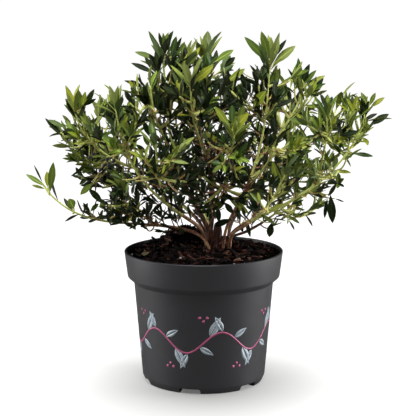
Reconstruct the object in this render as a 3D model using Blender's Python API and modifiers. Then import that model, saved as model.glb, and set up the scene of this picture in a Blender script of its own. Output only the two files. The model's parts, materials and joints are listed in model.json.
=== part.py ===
"""Potted dwarf rhododendron, a Blender model in metres with +Z up.

The origin is the centre of the pot's flat underside, and -Y is the side that faces the viewer.
A round container holds potting soil. A short root crown stands on the soil and forks into limbs.
Each limb ends where it enters its own mass of foliage: one stem, side shoots and whorls of leaves.
"""

import math
import random

import bmesh
import bpy
import numpy as np
from mathutils import Matrix, Vector

# Clearance between neighbouring solids
GAP = 0.0003

# Pot: radii and heights of the outside, from the rim down
POT_HEIGHT = 0.158
RIM_RADIUS = 0.095
BAND_LOW_RADIUS = 0.0912
BAND_LOW_HEIGHT = 0.1275
SHOULDER_RADIUS = 0.0836
SHOULDER_HEIGHT = 0.1205
HEEL_RADIUS = 0.0740
HEEL_HEIGHT = 0.0070
FOOT_RADIUS = 0.0708
LIP_EASE = 0.0008
WALL = 0.0018
FLOOR_TOP = 0.0095
FOOT_RING_WIDTH = 0.0120
UNDERSIDE_RECESS = 0.0068
PAD_RADIUS = 0.0280
RECESS_SLOPE = 0.0030
POT_SIDES = 48

# Drain arches cut through the pot's foot ring
ARCH_COUNT = 6
ARCH_WIDTH = 0.0250
ARCH_HEIGHT = 0.0060
ARCH_FIRST_ANGLE = math.radians(-103.0)
ARCH_OVERRUN = 0.010
DRAIN_SLOT_LENGTH = 0.0110
DRAIN_SLOT_WIDTH = 0.0050

# Potting soil: a low mound, level round the foot of the plant
SOIL_TOP = 0.158
SOIL_LEVEL_RADIUS = 0.036
SOIL_SLOPE_HEIGHT = 0.1545
SOIL_EDGE_HEIGHT = 0.1465
SOIL_SIDES = 40

# Root crown: a flared stump, given as height above the soil and radius
CROWN_FOOT = Vector((0.0165, 0.004, SOIL_TOP + GAP))
CROWN_PROFILE = ((0.0, 0.0165), (0.004, 0.0130), (0.012, 0.0116), (0.022, 0.0112), (0.030, 0.0085))
CROWN_LEAN = Vector((0.02, 0.05, 1.0))
CROWN_ROOT_OFFSET = 0.0055

# Limbs. Each row: parent, where it leaves the parent, tip of its leading shoot, slope in degrees
# as it leaves, slope at the tip, radius at the foot, and the share of the way where its foliage
# begins. From the root crown "where" is a height in metres, from a limb it is a share of its length.
CROWN = "root_crown"
LIMBS = {
    "left_front": (CROWN, 0.019, (-0.098, -0.075, 0.334), 28, 84, 0.0034, 0.56),
    "left_low": (CROWN, 0.012, (-0.182, -0.014, 0.228), 25, 48, 0.0029, 0.55),
    "top_left": (CROWN, 0.025, (-0.048, 0.002, 0.386), 50, 84, 0.0040, 0.60),
    "top_centre": (CROWN, 0.025, (0.002, 0.034, 0.384), 74, 88, 0.0042, 0.60),
    "top_right": (CROWN, 0.024, (0.077, -0.025, 0.381), 54, 86, 0.0040, 0.60),
    "right_far": (CROWN, 0.019, (0.194, -0.010, 0.332), 24, 76, 0.0034, 0.62),
    "right_low": (CROWN, 0.009, (0.128, 0.026, 0.228), 15, 32, 0.0027, 0.52),
    "back_left": (CROWN, 0.018, (-0.108, 0.098, 0.335), 32, 80, 0.0034, 0.55),
    "back_low": (CROWN, 0.012, (-0.022, 0.146, 0.272), 20, 66, 0.0030, 0.52),
    "back_right": (CROWN, 0.020, (0.108, 0.098, 0.345), 34, 80, 0.0034, 0.55),
    "back_middle": ("back_right", 0.30, (0.042, 0.132, 0.322), 40, 76, 0.0023, 0.46),
    "right_low_front": (CROWN, 0.014, (0.093, -0.098, 0.268), 22, 62, 0.0029, 0.58),
    "low_left": ("left_low", 0.30, (-0.092, -0.062, 0.240), 24, 52, 0.0021, 0.42),
    "left_outer": ("top_left", 0.24, (-0.150, -0.022, 0.326), 26, 76, 0.0028, 0.58),
    "left_lower": ("left_outer", 0.34, (-0.130, 0.030, 0.280), 16, 64, 0.0021, 0.42),
    "left_centre": ("left_front", 0.36, (-0.052, -0.112, 0.300), 44, 80, 0.0021, 0.40),
    "upper_left": ("top_left", 0.40, (-0.060, -0.058, 0.357), 50, 84, 0.0025, 0.45),
    "front_centre": ("top_centre", 0.30, (-0.014, -0.104, 0.366), 46, 84, 0.0028, 0.58),
    "centre_front": ("front_centre", 0.16, (0.034, -0.118, 0.308), 44, 70, 0.0020, 0.42),
    "centre": ("top_centre", 0.14, (0.030, -0.062, 0.262), 40, 60, 0.0021, 0.40),
    "back_centre": ("top_centre", 0.36, (-0.022, 0.084, 0.378), 52, 84, 0.0026, 0.46),
    "centre_right": ("top_right", 0.22, (0.082, -0.082, 0.304), 40, 72, 0.0022, 0.46),
    "upper_right": ("top_right", 0.42, (0.120, 0.024, 0.362), 46, 82, 0.0025, 0.48),
    "right_outer": ("top_right", 0.33, (0.164, 0.042, 0.334), 30, 74, 0.0026, 0.56),
    "right_front": ("right_far", 0.52, (0.140, -0.070, 0.326), 62, 86, 0.0022, 0.46),
    "right_side": ("right_far", 0.58, (0.164, -0.050, 0.274), 26, 66, 0.0019, 0.24),
    "back_left_low": ("back_left", 0.36, (-0.122, 0.086, 0.254), 14, 60, 0.0021, 0.42),
    "back_right_low": ("back_right", 0.36, (0.122, 0.088, 0.254), 14, 60, 0.0021, 0.42),
}
TWIG_TIP_RADIUS = 0.0011
LIMB_TAPER_POWER = 0.8
PATH_STEPS = 24
REACH_OUT = 0.42
REACH_BACK = 0.38

# Points along a limb's solid, and the roundness of its section, from the crown and from a limb
PRIMARY_POINTS, PRIMARY_ROUNDNESS = 8, 2
SECONDARY_POINTS, SECONDARY_ROUNDNESS = 6, 1
CROWN_ROUNDNESS = 4
STEM_POINTS = 5

# Side shoots: how many, how many tries at each, and the seeded ranges that a try is drawn from
SIDE_SHOOTS = 4
TRIES = 48
SHOOT_LENGTHS = (0.030, 0.052)
SHOOT_FEET = (0.10, 0.80)
SHOOT_LENGTH_AT_FOOT = 1.15
SHOOT_LENGTH_LOSS = 0.45
SHOOT_ELBOW = 0.45
SHOOT_FORWARD = 0.45
SHOOT_SIDEWAYS = 0.75
SHOOT_LIFTS = (0.15, 0.75)
SHOOT_TIP_ROOM = 0.0085
TOP_DROP = 0.006

# Leaves: a whorl round each shoot's tip, and one leaf lower down
LEAF_LENGTH = 0.0410
LEAF_WIDTH = 0.0150
LEAF_THICKNESS = 0.0013
LEAF_WIDEST = 0.52
LEAF_THICKEST = 0.20
LEAF_FOLD = 0.0012
LEAF_DROOP = 0.0015
LEAF_ROOT_DEPTH = 0.0008
LEAF_SIZES = (0.86, 1.08)
LEAVES_IN_LEADING_WHORL = 5
LEAVES_IN_WHORL = 3
WHORL_OPENINGS = (26, 62)
WHORL_START, WHORL_STEP = 0.018, 0.010
WHORL_JITTER = 0.2
LOWER_LEAF_OPENINGS = (70, 85)
LOWER_LEAF_PLACE = 0.55
LEAF_EASES = (1.0, 0.65, 0.35)
GOLDEN_ANGLE = math.radians(137.508)

# Room that foliage keeps: each mass to its own cell, and clear of wood
HEART_SHARE = 0.75
CELL_MARGIN = 0.0004
LIMB_MARGIN = 0.0010
LEAF_CLEAR_SHARE = 0.4

# Outline that side shoots keep within: an oval in plan, as shares of its spread at each height
OUTLINE_CENTRE = (0.010, 0.0)
OUTLINE_SPREAD = (0.205, 0.185)
OUTLINE_HEIGHTS = (0.180, 0.335, 0.420)
OUTLINE_SHARES = (0.72, 1.0, 0.30)
SHOOT_OUTLINE_SHARE = 0.90
LEAF_OUTLINE_SHARE = 1.05

# Colours, as linear RGB, with roughness
ANTHRACITE = ((0.040, 0.041, 0.044, 1.0), 0.45)
PEAT = ((0.020, 0.010, 0.007, 1.0), 0.95)
OLD_BARK = ((0.090, 0.045, 0.028, 1.0), 0.85)
YOUNG_BARK = ((0.300, 0.330, 0.080, 1.0), 0.55)
LEAF_GREEN = ((0.060, 0.110, 0.025, 1.0), 0.45)


def clear_scene():
    """Removes the objects that the file opened with."""
    for old in list(bpy.data.objects):
        bpy.data.objects.remove(old, do_unlink=True)


def new_collection(name):
    """A collection of that name in the scene."""
    collection = bpy.data.collections.new(name)
    bpy.context.scene.collection.children.link(collection)
    return collection


def finish(name, colour_and_roughness):
    """A plain plastic, soil, bark or leaf finish."""
    colour, roughness = colour_and_roughness
    material = bpy.data.materials.new(name)
    material.use_nodes = True
    shader = material.node_tree.nodes["Principled BSDF"]
    shader.inputs["Base Color"].default_value = colour
    shader.inputs["Roughness"].default_value = roughness
    shader.inputs["Metallic"].default_value = 0.0
    return material


def evaluated_mesh(obj):
    """The object's mesh with its modifiers applied and its curve made solid."""
    graph = bpy.context.evaluated_depsgraph_get()
    return bpy.data.meshes.new_from_object(obj.evaluated_get(graph))


def tidy_mesh(mesh, weld=0.000001):
    """Welds caps to sides, faces outwards, keeps the largest piece, and says if it is closed."""
    shape = bmesh.new()
    shape.from_mesh(mesh)
    bmesh.ops.remove_doubles(shape, verts=shape.verts, dist=weld)
    bmesh.ops.recalc_face_normals(shape, faces=shape.faces)
    left = set(shape.verts)
    pieces = []
    while left:
        edge_of_piece = [left.pop()]
        piece = list(edge_of_piece)
        while edge_of_piece:
            vertex = edge_of_piece.pop()
            for edge in vertex.link_edges:
                other = edge.other_vert(vertex)
                if other in left:
                    left.remove(other)
                    edge_of_piece.append(other)
                    piece.append(other)
        pieces.append(piece)
    pieces.sort(key=len)
    for scrap in pieces[:-1]:
        bmesh.ops.delete(shape, geom=scrap, context="VERTS")
    closed = all(len(edge.link_faces) == 2 for edge in shape.edges)
    shape.to_mesh(mesh)
    shape.free()
    return closed


def turned(name, profile, sides, collection):
    """A solid turned about the pot's axis from (radius, height) points, listed top to bottom."""
    mesh = bpy.data.meshes.new(name)
    points = [(radius, 0.0, height) for radius, height in profile]
    mesh.from_pydata(points, [(i, i + 1) for i in range(len(points) - 1)], [])
    obj = bpy.data.objects.new(name, mesh)
    collection.objects.link(obj)
    screw = obj.modifiers.new("turn", "SCREW")
    screw.steps = screw.render_steps = sides
    screw.use_merge_vertices = True
    screw.merge_threshold = 0.00001
    obj.data = evaluated_mesh(obj)
    obj.modifiers.clear()
    tidy_mesh(obj.data)
    return obj


def tube(name, points, radii, collection, roundness=0, section=None):
    """A tapering limb through the points, round, or with the section curve's outline."""
    curve = bpy.data.curves.new(name, "CURVE")
    curve.dimensions = "3D"
    curve.use_fill_caps = True
    thickest = max(radii)
    if section is None:
        curve.bevel_depth = thickest
        curve.bevel_resolution = roundness
    else:
        curve.bevel_mode = "OBJECT"
        curve.bevel_object = section
    spline = curve.splines.new("POLY")
    spline.points.add(len(points) - 1)
    for spot, point, radius in zip(spline.points, points, radii):
        spot.co = (*point, 1.0)
        spot.radius = radius / thickest if section is None else radius
    source = bpy.data.objects.new(name + "_line", curve)
    collection.objects.link(source)
    obj = bpy.data.objects.new(name, evaluated_mesh(source))
    collection.objects.link(obj)
    obj.matrix_world = source.matrix_world
    bpy.data.objects.remove(source)
    tidy_mesh(obj.data)
    return obj


def cut(obj, cutter):
    """Takes the cutter's shape out of the object and removes the cutter."""
    difference = obj.modifiers.new("cut", "BOOLEAN")
    difference.operation = "DIFFERENCE"
    difference.solver = "EXACT"
    difference.object = cutter
    obj.data = evaluated_mesh(obj)
    obj.modifiers.clear()
    bpy.data.objects.remove(cutter)
    tidy_mesh(obj.data)


def fuse(obj, pieces, name):
    """Joins the pieces to the object with one Boolean union on a collection."""
    joined = new_collection(name + "_pieces")
    for piece in pieces:
        for holder in list(piece.users_collection):
            holder.objects.unlink(piece)
        joined.objects.link(piece)
    union = obj.modifiers.new("fuse", "BOOLEAN")
    union.operation = "UNION"
    union.operand_type = "COLLECTION"
    union.collection = joined
    for solver in ("EXACT", "MANIFOLD"):
        union.solver = solver
        mesh = evaluated_mesh(obj)
        if tidy_mesh(mesh, weld=0.00000001):
            break
    obj.modifiers.clear()
    obj.data = mesh
    for piece in pieces:
        bpy.data.objects.remove(piece)
    bpy.data.collections.remove(joined)


def dress(obj, material):
    """Gives the object its material, smooth but for its sharp edges."""
    obj.data.materials.clear()
    obj.data.materials.append(material)
    obj.data.shade_smooth()
    obj.data.set_sharp_from_angle(angle=math.radians(35.0))


def pot_outside():
    """The pot's outer outline from the rim to the middle of its underside."""
    ring_inner = FOOT_RADIUS - FOOT_RING_WIDTH
    return [
        (RIM_RADIUS - LIP_EASE, POT_HEIGHT),
        (RIM_RADIUS, POT_HEIGHT - LIP_EASE),
        (BAND_LOW_RADIUS, BAND_LOW_HEIGHT),
        (SHOULDER_RADIUS, SHOULDER_HEIGHT),
        (HEEL_RADIUS, HEEL_HEIGHT),
        (FOOT_RADIUS, 0.0),
        (ring_inner, 0.0),
        (ring_inner - RECESS_SLOPE, UNDERSIDE_RECESS),
        (PAD_RADIUS + RECESS_SLOPE, UNDERSIDE_RECESS),
        (PAD_RADIUS, 0.0),
        (0.0, 0.0),
    ]


def pot_inside(inset=0.0):
    """The pot's inner outline from the floor to the rim, or a line that far inside it."""
    wall = WALL + inset
    return [
        (HEEL_RADIUS - wall, FLOOR_TOP + inset),
        (SHOULDER_RADIUS - wall, SHOULDER_HEIGHT),
        (BAND_LOW_RADIUS - wall, BAND_LOW_HEIGHT),
        (RIM_RADIUS - LIP_EASE - wall, POT_HEIGHT),
    ]


def block_cutter(size, place, collection):
    """A cutter block of that size, set at its place in the pot."""
    bpy.ops.mesh.primitive_cube_add(size=1.0)
    block = bpy.context.object
    block.data.transform(Matrix.Diagonal((*size, 1.0)))
    block.matrix_world = place
    for holder in list(block.users_collection):
        holder.objects.unlink(block)
    collection.objects.link(block)
    block.hide_render = True
    block.display_type = "WIRE"
    return block


def arch_cutters(angle, collection):
    """A block through the foot ring, and one for the drain slot that rises from it into the pot."""
    turn = Matrix.Rotation(angle, 4, "Z")
    inner = FOOT_RADIUS - FOOT_RING_WIDTH - 2 * RECESS_SLOPE
    outer = HEEL_RADIUS + ARCH_OVERRUN
    arch_size = (outer - inner, ARCH_WIDTH, 2 * ARCH_HEIGHT)
    arch_place = turn @ Matrix.Translation(((inner + outer) / 2, 0.0, 0.0))
    slot_size = (DRAIN_SLOT_WIDTH, DRAIN_SLOT_LENGTH, 2 * FLOOR_TOP)
    slot_radius = FOOT_RADIUS - FOOT_RING_WIDTH / 2
    slot_place = turn @ Matrix.Translation((slot_radius, 0.0, FLOOR_TOP + ARCH_HEIGHT / 2))
    return [
        block_cutter(arch_size, arch_place, collection),
        block_cutter(slot_size, slot_place, collection),
    ]


def build_pot(collection, cutters, plastic):
    """The container: a turned shell with drain arches round its foot."""
    profile = [(0.0, FLOOR_TOP)] + pot_inside() + pot_outside()
    pot = turned("pot", profile, POT_SIDES, collection)
    for index in range(ARCH_COUNT):
        angle = ARCH_FIRST_ANGLE + index * 2 * math.pi / ARCH_COUNT
        for block in arch_cutters(angle, cutters):
            cut(pot, block)
    dress(pot, plastic)


def build_soil(collection, peat):
    """Soil that fills the pot to just under its rim and mounds up to the foot of the plant."""
    wall = pot_inside(GAP)
    edge_share = (SOIL_EDGE_HEIGHT - BAND_LOW_HEIGHT) / (POT_HEIGHT - BAND_LOW_HEIGHT)
    edge_radius = wall[2][0] + edge_share * (wall[3][0] - wall[2][0])
    mound = [
        (0.0, SOIL_TOP),
        (SOIL_LEVEL_RADIUS, SOIL_TOP),
        ((SOIL_LEVEL_RADIUS + edge_radius) / 2, SOIL_SLOPE_HEIGHT),
        (edge_radius, SOIL_EDGE_HEIGHT),
    ]
    side = [wall[2], wall[1], wall[0], (0.0, FLOOR_TOP + GAP)]
    soil = turned("soil", mound + side, SOIL_SIDES, collection)
    dress(soil, peat)


def crown_line(inflate=0.0):
    """Points and radii of the root crown's axis, made larger all round by inflate.

    The lowest stretch is upright, so that the crown is cut off level at the soil.
    """
    upright = CROWN_PROFILE[1][0]
    points, radii = [], []
    for height, radius in CROWN_PROFILE:
        lean = CROWN_LEAN * max(height - upright, 0.0)
        points.append(CROWN_FOOT + Vector((0.0, 0.0, min(height, upright))) + lean)
        radii.append(radius + inflate)
    points[0] = points[0] - Vector((0.0, 0.0, inflate))
    points[-1] = points[-1] + CROWN_LEAN.normalized() * inflate
    return points, radii


def limb_curve(start, tip, leave_deg, finish_deg):
    """A limb's centre line: it leaves at one slope, turns up, and ends at another."""
    start, tip = np.array(start), np.array(tip)
    chord = tip - start
    length = np.linalg.norm(chord)
    flat = np.array((chord[0], chord[1], 0.0))
    flat /= np.linalg.norm(flat)
    up = np.array((0.0, 0.0, 1.0))
    leave, end = math.radians(leave_deg), math.radians(finish_deg)
    first = start + REACH_OUT * length * (math.cos(leave) * flat + math.sin(leave) * up)
    second = tip - REACH_BACK * length * (math.cos(end) * flat + math.sin(end) * up)
    t = np.linspace(0.0, 1.0, PATH_STEPS + 1)[:, None]
    u = 1.0 - t
    return u**3 * start + 3 * u**2 * t * first + 3 * u * t**2 * second + t**3 * tip


def at_share(path, share):
    """The point that far along a path of evenly numbered steps."""
    place = share * (len(path) - 1)
    low = min(int(place), len(path) - 2)
    return path[low] + (place - low) * (path[low + 1] - path[low])


def plan_limbs():
    """Every limb's whole line from foot to leading tip, with its radii, parents first."""
    plan = {}
    for name, (parent, where, tip, leave, end, foot_radius, share) in LIMBS.items():
        if parent == CROWN:
            start = np.array(CROWN_FOOT + CROWN_LEAN * where)
            towards = np.array((tip[0], tip[1], 0.0)) - start * (1.0, 1.0, 0.0)
            start += CROWN_ROOT_OFFSET * towards / np.linalg.norm(towards)
        else:
            start = at_share(plan[parent]["path"], where)
        path = limb_curve(start, tip, leave, end)
        t = np.linspace(0.0, 1.0, len(path))
        radii = foot_radius + (TWIG_TIP_RADIUS - foot_radius) * t**LIMB_TAPER_POWER
        plan[name] = {"path": path, "radii": radii, "share": share, "parent": parent}
    return plan


def stretch(limb, low, high, count):
    """Points and radii at even steps of a limb between two shares of its way."""
    shares = np.linspace(low, high, count)
    grid = np.linspace(0.0, 1.0, len(limb["path"]))
    points = np.array([at_share(limb["path"], share) for share in shares])
    return points, np.interp(shares, grid, limb["radii"])


def wood_segments(plan):
    """Every limb and every leading shoot as segments, for keeping foliage clear of them."""
    starts, ends, radii, owners = [], [], [], []
    for name, limb in plan.items():
        for low, high, owner in ((0.0, limb["share"], CROWN), (limb["share"], 1.0, name)):
            points, radius = stretch(limb, low, high, 12)
            starts.append(points[:-1])
            ends.append(points[1:])
            radii.append(radius[:-1])
            owners += [owner] * (len(points) - 1)
    points, radius = crown_line()
    points = np.array([tuple(point) for point in points])
    starts.append(points[:-1])
    ends.append(points[1:])
    radii.append(np.array(radius[:-1]))
    owners += [CROWN] * (len(points) - 1)
    return np.vstack(starts), np.vstack(ends), np.concatenate(radii), np.array(owners)


def segment_distances(a, b, starts, ends):
    """Least distance from segment a-b to each of many segments."""
    along = b - a
    others = ends - starts
    apart = starts - a
    aa = along @ along
    bb = np.einsum("ij,ij->i", others, others)
    ab = others @ along
    ad = apart @ along
    bd = np.einsum("ij,ij->i", apart, others)
    spread = np.maximum(aa * bb - ab * ab, 1e-18)
    s = np.clip((ad * bb - bd * ab) / spread, 0.0, 1.0)
    t = np.clip((s * ab - bd) / bb, 0.0, 1.0)
    s = np.clip((ad + t * ab) / aa, 0.0, 1.0)
    near = a + s[:, None] * along - (starts + t[:, None] * others)
    return np.linalg.norm(near, axis=1)


class Room:
    """The space that foliage may fill: each mass keeps to the points nearest its own heart."""

    def __init__(self, plan):
        self.names = list(plan)
        shares = [limb["share"] + HEART_SHARE * (1.0 - limb["share"]) for limb in plan.values()]
        self.hearts = np.array([at_share(limb["path"], s) for limb, s in zip(plan.values(), shares)])
        self.starts, self.ends, self.radii, self.owners = wood_segments(plan)

    def inside(self, name, points, margin=CELL_MARGIN):
        """True if all points lie in the mass's own cell, by at least the margin, and off the pot."""
        own = self.hearts[self.names.index(name)]
        rest = np.array([h for h, n in zip(self.hearts, self.names) if n != name])
        points = np.atleast_2d(points)
        middle = (rest + own) / 2
        normal = rest - own
        normal /= np.linalg.norm(normal, axis=1)[:, None]
        depth = np.einsum("jk,ijk->ij", normal, middle[None] - points[:, None])
        return depth.min() > margin and points[:, 2].min() > OUTLINE_HEIGHTS[0]

    def clear_of_wood(self, name, a, b, half_width):
        """True if a bar from a to b touches no limb, and no leading shoot of another mass."""
        gaps = segment_distances(a, b, self.starts, self.ends) - self.radii
        return bool(gaps[self.owners != name].min() > half_width + LIMB_MARGIN)


def in_outline(points, share=1.0):
    """True if all points lie within that share of the crown's outline."""
    points = np.atleast_2d(points)
    plan = (points[:, :2] - OUTLINE_CENTRE) / OUTLINE_SPREAD
    limit = share * np.interp(points[:, 2], OUTLINE_HEIGHTS, OUTLINE_SHARES)
    return bool((np.linalg.norm(plan, axis=1) < limit).all() and points[:, 2].max() < OUTLINE_HEIGHTS[-1])


def unit(vector):
    """The vector at length one."""
    return vector / max(np.linalg.norm(vector), 1e-12)


def across(axis):
    """Two unit vectors square to the axis and to each other."""
    helper = np.array((0.0, 0.0, 1.0)) if abs(axis[2]) < 0.9 else np.array((1.0, 0.0, 0.0))
    one = unit(np.cross(helper, axis))
    return one, np.cross(axis, one)


def shoot_try(stem, rng):
    """One seeded side shoot: it leaves the stem sideways and turns up towards the light."""
    share = rng.uniform(*SHOOT_FEET)
    foot = at_share(stem, share)
    axis = unit(at_share(stem, share + 0.1) - at_share(stem, share - 0.1))
    one, two = across(axis)
    turn = rng.uniform(0.0, 2 * math.pi)
    side = math.cos(turn) * one + math.sin(turn) * two
    lift = np.array((0.0, 0.0, rng.uniform(*SHOOT_LIFTS)))
    out = unit(side + SHOOT_FORWARD * axis)
    up = unit(SHOOT_SIDEWAYS * side + SHOOT_FORWARD * axis + lift)
    length = rng.uniform(*SHOOT_LENGTHS) * (SHOOT_LENGTH_AT_FOOT - SHOOT_LENGTH_LOSS * share)
    elbow = foot + SHOOT_ELBOW * length * out
    return np.array([foot, elbow, elbow + (1.0 - SHOOT_ELBOW) * length * up])


def grow_shoots(plan, room):
    """The leading shoot of each mass and its side shoots, each the roomiest of several tries."""
    shoots, tips = {}, []
    for name, limb in plan.items():
        length = np.linalg.norm(np.diff(limb["path"], axis=0), axis=1).sum()
        start = limb["share"] + GAP / length
        stem, radii = stretch(limb, start, 1.0, STEM_POINTS)
        shoots[name] = [(stem, radii)]
        tips.append(stem[-1])
    for number in range(SIDE_SHOOTS):
        for name, limb in plan.items():
            rng = random.Random(f"{name} shoot {number}")
            stem = shoots[name][0][0]
            best, best_room = None, SHOOT_TIP_ROOM
            for _ in range(TRIES):
                line = shoot_try(stem, rng)
                if line[-1][2] > stem[-1][2] - TOP_DROP:
                    continue
                if not in_outline(line[-1], SHOOT_OUTLINE_SHARE):
                    continue
                if not room.inside(name, line, SHOOT_TIP_ROOM):
                    continue
                pairs = zip(line, line[1:])
                if not all(room.clear_of_wood(name, a, b, TWIG_TIP_RADIUS) for a, b in pairs):
                    continue
                space = min(np.linalg.norm(line[-1] - tip) for tip in tips)
                if space > best_room:
                    best, best_room = line, space
            if best is not None:
                shoots[name].append((best, np.full(3, TWIG_TIP_RADIUS)))
                tips.append(best[-1])
    return shoots


def leaf_matrix(root, axis, side, opening, size):
    """Places a leaf that opens that far from the shoot's axis, its upper side towards the axis."""
    direction = math.cos(opening) * axis + math.sin(opening) * side
    face = math.sin(opening) * axis - math.cos(opening) * side
    width = unit(np.cross(face, direction))
    turn = Matrix((width, face, direction)).transposed()
    return Matrix.Translation(Vector(root)) @ (turn * size).to_4x4()


def fitting_leaf(name, lead, spot, blade, room):
    """The leaf's place, drawn in towards its shoot as far as its neighbours ask, or None."""
    root, axis, side, opening, size = spot
    for ease in LEAF_EASES:
        matrix = leaf_matrix(root, axis, side, opening * ease, size)
        corners = np.array([matrix @ vertex.co for vertex in blade.vertices])
        if not room.inside(name, corners) or not (lead or in_outline(corners, LEAF_OUTLINE_SHARE)):
            continue
        tip = np.array(matrix @ Vector((0.0, 0.0, LEAF_LENGTH)))
        if room.clear_of_wood(name, root, tip, LEAF_CLEAR_SHARE * LEAF_WIDTH):
            return matrix
    return None


def whorl(line, rng, lead):
    """Leaves round a shoot's tip and one lower on it, as (root, axis, side, opening, size)."""
    tip, below = line[-1], line[-2]
    axis = unit(tip - below)
    one, two = across(axis)
    turn = rng.uniform(0.0, 2 * math.pi)
    count = LEAVES_IN_LEADING_WHORL if lead else LEAVES_IN_WHORL
    step = GOLDEN_ANGLE if lead else 2 * math.pi / count
    spots = []
    for index in range(count + 1):
        angle = turn + index * step + rng.uniform(-WHORL_JITTER, WHORL_JITTER)
        side = math.cos(angle) * one + math.sin(angle) * two
        if index < count:
            opening, back = rng.uniform(*WHORL_OPENINGS), WHORL_START + WHORL_STEP * index
        else:
            opening, back = rng.uniform(*LOWER_LEAF_OPENINGS), LOWER_LEAF_PLACE
        root = tip + (below - tip) * back
        spots.append((root, axis, side, math.radians(opening), rng.uniform(*LEAF_SIZES)))
    return spots


def leaf_mesh():
    """A blade of eight faces: root and tip, two margins, and a rib above and below."""
    shape = bmesh.new()
    bmesh.ops.create_uvsphere(shape, u_segments=4, v_segments=2, radius=1.0)
    for vertex in shape.verts:
        x, y, z = vertex.co
        if z > 0.5:
            vertex.co = (0.0, -LEAF_DROOP, LEAF_LENGTH)
        elif z < -0.5:
            vertex.co = (0.0, 0.0, -LEAF_ROOT_DEPTH)
        elif abs(x) > 0.5:
            vertex.co = (math.copysign(LEAF_WIDTH / 2, x), LEAF_FOLD, LEAF_WIDEST * LEAF_LENGTH)
        else:
            vertex.co = (0.0, math.copysign(LEAF_THICKNESS / 2, y), LEAF_THICKEST * LEAF_LENGTH)
    bmesh.ops.recalc_face_normals(shape, faces=shape.faces)
    mesh = bpy.data.meshes.new("leaf")
    shape.to_mesh(mesh)
    shape.free()
    return mesh


def twig_section(collection):
    """A three-sided outline of unit radius that the twigs are swept with."""
    curve = bpy.data.curves.new("twig_section", "CURVE")
    curve.dimensions = "2D"
    spline = curve.splines.new("POLY")
    spline.points.add(2)
    for index, spot in enumerate(spline.points):
        angle = 2 * math.pi * index / 3
        spot.co = (math.cos(angle), math.sin(angle), 0.0, 1.0)
    spline.use_cyclic_u = True
    obj = bpy.data.objects.new("twig_section", curve)
    obj.hide_render = True
    obj.display_type = "WIRE"
    collection.objects.link(obj)
    return obj


def build_crown(collection, bark):
    """The stump that the limbs fork from, cut off level at the soil."""
    points, radii = crown_line()
    crown = tube(CROWN, points, radii, collection, CROWN_ROUNDNESS)
    dress(crown, bark)


def limb_tube(name, limb, inflate, collection):
    """A limb's solid from its foot to where its foliage begins, made thicker by inflate."""
    primary = limb["parent"] == CROWN
    count, roundness = PRIMARY_POINTS, PRIMARY_ROUNDNESS
    if not primary:
        count, roundness = SECONDARY_POINTS, SECONDARY_ROUNDNESS
    points, radii = stretch(limb, 0.0, limb["share"], count)
    return tube(name, points, radii + inflate, collection, roundness)


def build_bough(name, plan, collection, bark):
    """A limb from its parent's surface to where its foliage begins."""
    limb = plan[name]
    bough = limb_tube(name + "_bough", limb, 0.0, collection)
    if limb["parent"] == CROWN:
        points, radii = crown_line(GAP)
        parent = tube("parent", points, radii, collection, CROWN_ROUNDNESS)
    else:
        parent = limb_tube("parent", plan[limb["parent"]], GAP, collection)
    cut(bough, parent)
    dress(bough, bark)


def build_mass(name, shoots, room, collection, section, blade, green):
    """One mass of foliage: stem, side shoots and leaves, fused into one solid."""
    stem, radii = shoots[0]
    mass = tube(name + "_foliage", stem, radii, collection, section=section)
    pieces = [tube("twig", line, radii, collection, section=section) for line, radii in shoots[1:]]
    rng = random.Random(f"{name} leaves")
    for number, (line, _) in enumerate(shoots):
        lead = number == 0
        for spot in whorl(line, rng, lead):
            matrix = fitting_leaf(name, lead, spot, blade, room)
            if matrix is not None:
                leaf = bpy.data.objects.new("leaf", blade)
                leaf.matrix_world = matrix
                collection.objects.link(leaf)
                pieces.append(leaf)
    fuse(mass, pieces, name)
    dress(mass, green)


def main():
    """Builds the pot, its soil, and the plant from the root crown outwards."""
    clear_scene()
    parts = new_collection("potted_dwarf_rhododendron")
    cutters = new_collection("cutters")
    build_pot(parts, cutters, finish("anthracite_plastic", ANTHRACITE))
    build_soil(parts, finish("potting_soil", PEAT))
    build_crown(parts, finish("old_bark", OLD_BARK))
    plan = plan_limbs()
    room = Room(plan)
    young_bark = finish("young_bark", YOUNG_BARK)
    green = finish("leaf_green", LEAF_GREEN)
    for name in plan:
        build_bough(name, plan, parts, young_bark)
    section = twig_section(cutters)
    blade = leaf_mesh()
    for name, shoots in grow_shoots(plan, room).items():
        build_mass(name, shoots, room, parts, section, blade, green)


main()
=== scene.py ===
"""Looks of the potted dwarf rhododendron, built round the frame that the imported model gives.

The pot, its soil, the wood and the foliage are each made by a class of their own. The plant grows
by the rule that its solids grew by, and is carried on to finer twigs and to leaves of life size.
"""

from __future__ import annotations

import json
import logging
import math
import random
from dataclasses import Field, dataclass, field, replace
from enum import Enum

import bmesh
import bpy
import numpy as np
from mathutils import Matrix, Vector, noise

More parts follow.
